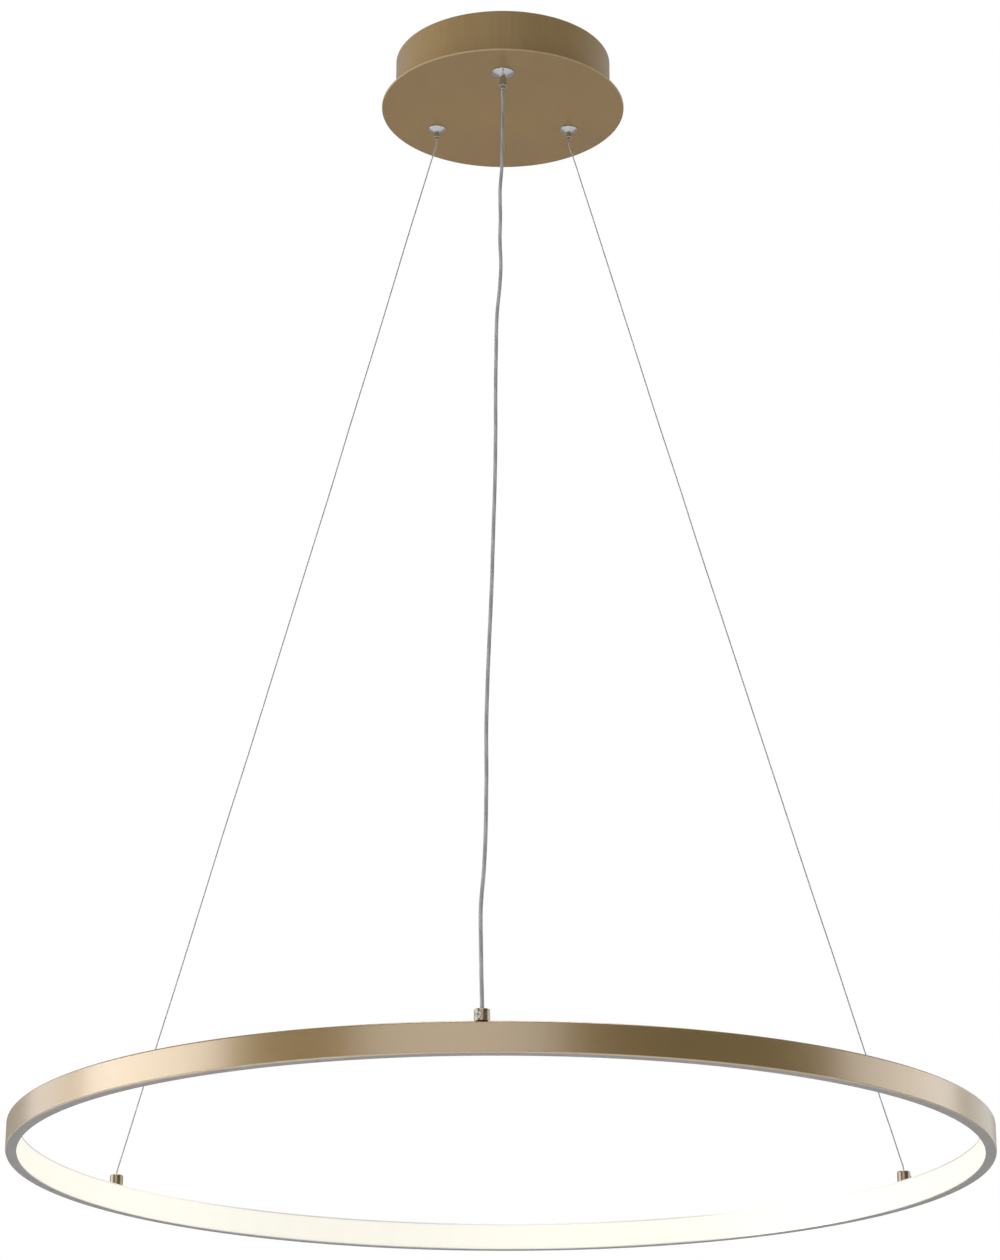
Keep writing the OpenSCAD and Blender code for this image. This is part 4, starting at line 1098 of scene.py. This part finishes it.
dress(["front_plunger", "left_plunger", "right_plunger", *gripper_bodies], dark_chrome)
dress(["grub_screws"], grub_steel)
dress(["side_screws", "weld_studs", "stud_nuts", "gripper_nuts", "gripper_caps", "holder_nuts",
       "terminal_screws", "cord_clamp", *springs, ring_eye, crimp], zinc)
dress(["ceiling_bracket"], blue_zinc)
dress(["front_balls", "left_balls", "right_balls"], ball_steel)
dress([*wires, *wire_ends], wire_steel)
dress([*cores, *feeds, *(leads[name] for name in CORD_CORES)], tinned)
dress(["wire_stops"], brass)
print("metals ready")

# %% [markdown]
# Plastics and the board
#
# Moulded plastic has a fine spark-eroded grain, so its flecks are small and its bump is stronger.
# The sleeves of the leads, the board and the white coat of the light strip are smoother. Plastic
# holds no metal, so the second number of each is 0.

# %% Plastics
white_plastic = finish_of("white_plastic", (0.80, 0.80, 0.78), 0.0, 0.48, flecks, 0.4,
                          Grains_per_Metre=2200.0, Amount=0.02, Drift=0.01)
board_green = finish_of("board_green", (0.03, 0.16, 0.07), 0.0, 0.30, flecks, 0.3, Amount=0.12)
brown_sleeve = finish_of("brown_sleeve", (0.13, 0.055, 0.025), 0.0, 0.38, flecks, 0.1, Amount=0.04)
blue_sleeve = finish_of("blue_sleeve", (0.03, 0.12, 0.42), 0.0, 0.38, flecks, 0.1, Amount=0.04)
strip_white = finish_of("strip_white", (0.82, 0.82, 0.80), 0.0, 0.40, flecks, 0.1, Amount=0.03)
dress(["driver_case", "driver_cover", "terminal_block"], white_plastic)
dress(["driver_board"], board_green)
dress([leads["brown_lead"]], brown_sleeve)
dress([leads["blue_lead"]], blue_sleeve)
dress(["light_strip"], strip_white)
print("plastics ready")

# %% [markdown]
# The striped sleeve
#
# The earth lead's sleeve is half green and half yellow along its length. That is fixed by rule in
# much of the world, so that nobody takes it for another lead. The UV map says how far round the
# tube a point lies, and a step at one half turns that into two colours.

# %% Striped sleeve
GREEN = (0.05, 0.30, 0.06)
YELLOW = (0.80, 0.62, 0.04)


def round_and_along(tree):
    """How far round a swept piece a point lies, as X, and how far along, as Y."""
    return add(tree, "SeparateXYZ", add(tree, "UVMap", uv_map=UV_NAME).outputs["UV"]).outputs


striped = finish_of("green_yellow_sleeve", GREEN, 0.0, 0.38, flecks, 0.1, Amount=0.04)
half_round = calc("GREATER_THAN", round_and_along(striped.node_tree)["X"], 0.5)
give(principled(striped), Base_Color=mixed(half_round, GREEN, YELLOW))
dress([earth_lead], striped)
print("striped sleeve ready")

# %% [markdown]
# The clear jacket
#
# The jacket of the power cord has the twist of its cores painted from the same map: how far round
# plus how far along makes a spiral. A small part of it lets light through, with the refraction of
# soft plastic.

# %% Clear jacket
CORE_SHOWS = (0.36, 0.36, 0.36)
JACKET_GREY = (0.45, 0.45, 0.445)
STRIPE_LAY = 40 * MM
STRIPE_SOFT = 0.5
JACKET_CLEAR = 0.12
SOFT_PLASTIC_IOR = 1.45

clear = finish_of("clear_jacket", JACKET_GREY, 0.0, 0.25, flecks, Amount=0.02)
place_on_tube = round_and_along(clear.node_tree)
turns = calc("ADD", calc("DIVIDE", place_on_tube["Y"], STRIPE_LAY), place_on_tube["X"])
wave = calc("SINE", calc("MULTIPLY", turns, math.tau))
core_side = ranged(wave, -STRIPE_SOFT, STRIPE_SOFT, smooth=True)
give(principled(clear), Base_Color=mixed(core_side, JACKET_GREY, CORE_SHOWS),
     IOR=SOFT_PLASTIC_IOR, Transmission_Weight=JACKET_CLEAR)
dress([jacket, *jacket_ends], clear)
print("jacket ready, one twist in", round(STRIPE_LAY / MM), "mm")

# %% [markdown]
# The light chips
#
# A light chip is a small block under yellow phosphor, which turns the chip's blue light into warm
# white. The diffuser hides them, so a plain glow on the phosphor's colour is enough.

# %% Lit chips
PHOSPHOR = (0.85, 0.70, 0.25)
CHIP_GLOW = (1.0, 0.93, 0.75, 1)
CHIP_STRENGTH = 2.0

phosphor = finish_of("lit_phosphor", PHOSPHOR, 0.0, 0.35, flecks, Amount=0.05)
give(principled(phosphor), Emission_Color=CHIP_GLOW, Emission_Strength=CHIP_STRENGTH)
dress(["light_chips"], phosphor)
print("chips ready")

# %% [markdown]
# The room
#
# The picture has a pure white background, so camera rays that miss the object see plain white, and
# so do rays through the clear cord. A metal that saw plain white all round would look flat, so
# polished and satin metal meet a soft grey wall behind the object, and a dimmer room in front,
# where the camera stood. That is one smooth step in the direction of the ray. Light that falls on
# dull surfaces is an even, low fill, and the lamps do the rest.

# %% World
SOFT_LIGHT = 0.10
ROOM = 0.10
BACKDROP = 0.34
BACKDROP_FROM, BACKDROP_FULL = -0.1, 0.5

world = bpy.data.worlds.new("studio")
bpy.context.scene.world = world
world.use_nodes = True
tree = world.node_tree
tree.nodes.clear()


def sky(strength):
    """A white background of one strength, or of one that a node gives."""
    return add(tree, "Background", Color=WHITE, Strength=strength).outputs["Background"]


backwards = add(tree, "SeparateXYZ", add(tree, "TexCoord").outputs["Generated"]).outputs["Y"]
wall = ranged(backwards, BACKDROP_FROM, BACKDROP_FULL, ROOM, BACKDROP, smooth=True)
ray = add(tree, "LightPath").outputs
dull_or_metal = blended(ray["Is Glossy Ray"], sky(SOFT_LIGHT), sky(wall))
straight = calc("MAXIMUM", ray["Is Camera Ray"], ray["Is Transmission Ray"])
give(add(tree, "OutputWorld"), Surface=blended(straight, dull_or_metal, sky(1.0)))
print("world ready")

# %% [markdown]
# The floor
#
# A pale floor lies below, as far down as a real one. A disc that simply ended would draw a hard
# horizon across every view from above, so its paint fades into the white background with distance.
# Seen from below it is see-through, so that it never hides the light from a camera under it. Near
# the middle the fade leaves enough of the real shading for a soft shadow to show.

# %% Floor
FLOOR_Z = -2.5
FLOOR_R = 9.0
FLOOR_SIDES = 64
FLOOR_PAINT = (0.86, 0.86, 0.85, 1)
FLOOR_ROUGHNESS = 0.7
FADE_FROM, FADE_TO = 2.5, 6.0
NEAR_FADE = 0.55
FAR_FLOOR = 0.36

rim = [math.tau * i / FLOOR_SIDES for i in range(FLOOR_SIDES)]
floor = add_object("floor", [(FLOOR_R * math.cos(turn), FLOOR_R * math.sin(turn), FLOOR_Z)
                             for turn in rim], [tuple(range(FLOOR_SIDES))])
floor_paint = new_material("pale_floor")
tree, shader = floor_paint.node_tree, principled(floor_paint)
give(shader, Base_Color=FLOOR_PAINT, Roughness=FLOOR_ROUGHNESS)
distance = place(tree, turned_place)["Radius"]
fade = ranged(distance, FADE_FROM, FADE_TO, smooth=True)
camera_fade = ranged(distance, FADE_FROM, FADE_TO, NEAR_FADE, smooth=True)
ray = add(tree, "LightPath").outputs
for_camera = calc("MULTIPLY", ray["Is Camera Ray"], camera_fade)
for_metal = calc("MULTIPLY", ray["Is Glossy Ray"], fade)
far_level = ranged(ray["Is Camera Ray"], 0.0, 1.0, FAR_FLOOR)
white = add(tree, "Emission", Color=WHITE, Strength=far_level).outputs["Emission"]
paint = blended(calc("ADD", for_camera, for_metal), shader.outputs["BSDF"], white)
from_below = add(tree, "NewGeometry").outputs["Backfacing"]
see_through = add(tree, "BsdfTransparent").outputs["BSDF"]
give(tree.nodes["Material Output"], Surface=blended(from_below, paint, see_through))
dress([floor], floor_paint)
print("floor ready,", 2 * FLOOR_R, "m across")

# %% [markdown]
# Soft lamps
#
# The gold band is a map of the room: it is brightest at the left, has a second glow near the
# middle, goes dark at the right front, and brightens again at the right. A mirror turned by some
# angle looks twice as far round, so those places give the directions of five softboxes: a strong
# one and a weak one on either side, and one in front. A large soft lamp high above lights the
# floor, and the floor lights the underside of the canopy. It hangs far up, because the nearer a
# lamp is, the more it would light the canopy's back than the floor.

# %% Lamps
RING_CENTRE = (0, 0, -1.0)
LAMP_REACH = 3.3
LAMP_LIFT = math.radians(13)
TOP_LAMP = ((0, 0, 8), 4.6, 4.6, 540)
# Name, degrees to the right of the camera, width and height in metres, power in watts.
SOFTBOXES = [
    ("left_softbox", -82, 2.6, 1.8, 63),
    ("left_rear_softbox", -120, 1.3, 1.8, 11),
    ("front_softbox", -9, 2.6, 1.8, 33),
    ("right_softbox", 99, 2.65, 1.8, 34),
    ("right_rear_softbox", 140, 1.3, 1.8, 5),
]


def lamp(name, place_at, wide, tall, power):
    """A soft rectangular lamp that faces the ring's centre."""
    data = bpy.data.lights.new(name, "AREA")
    data.shape = "RECTANGLE"
    data.size, data.size_y, data.energy = wide, tall, power
    made = bpy.data.objects.new(name, data)
    made.location = place_at
    toward_ring = Vector(RING_CENTRE) - Vector(place_at)
    made.rotation_euler = toward_ring.to_track_quat("-Z", "Y").to_euler()
    bpy.context.scene.collection.objects.link(made)


for name, degrees_right, wide, tall, power in SOFTBOXES:
    turn = math.radians(degrees_right)
    lamp(name, (LAMP_REACH * math.sin(turn), -LAMP_REACH * math.cos(turn),
                RING_CENTRE[2] + LAMP_REACH * math.tan(LAMP_LIFT)), wide, tall, power)
lamp("top_softbox", *TOP_LAMP)
print("lamps ready:", len(SOFTBOXES) + 1)

# %% [markdown]
# The view
#
# Colours should come out as they are written, so the view transform is the plain one.

# %% Finish
bpy.context.scene.view_settings.view_transform = "Standard"
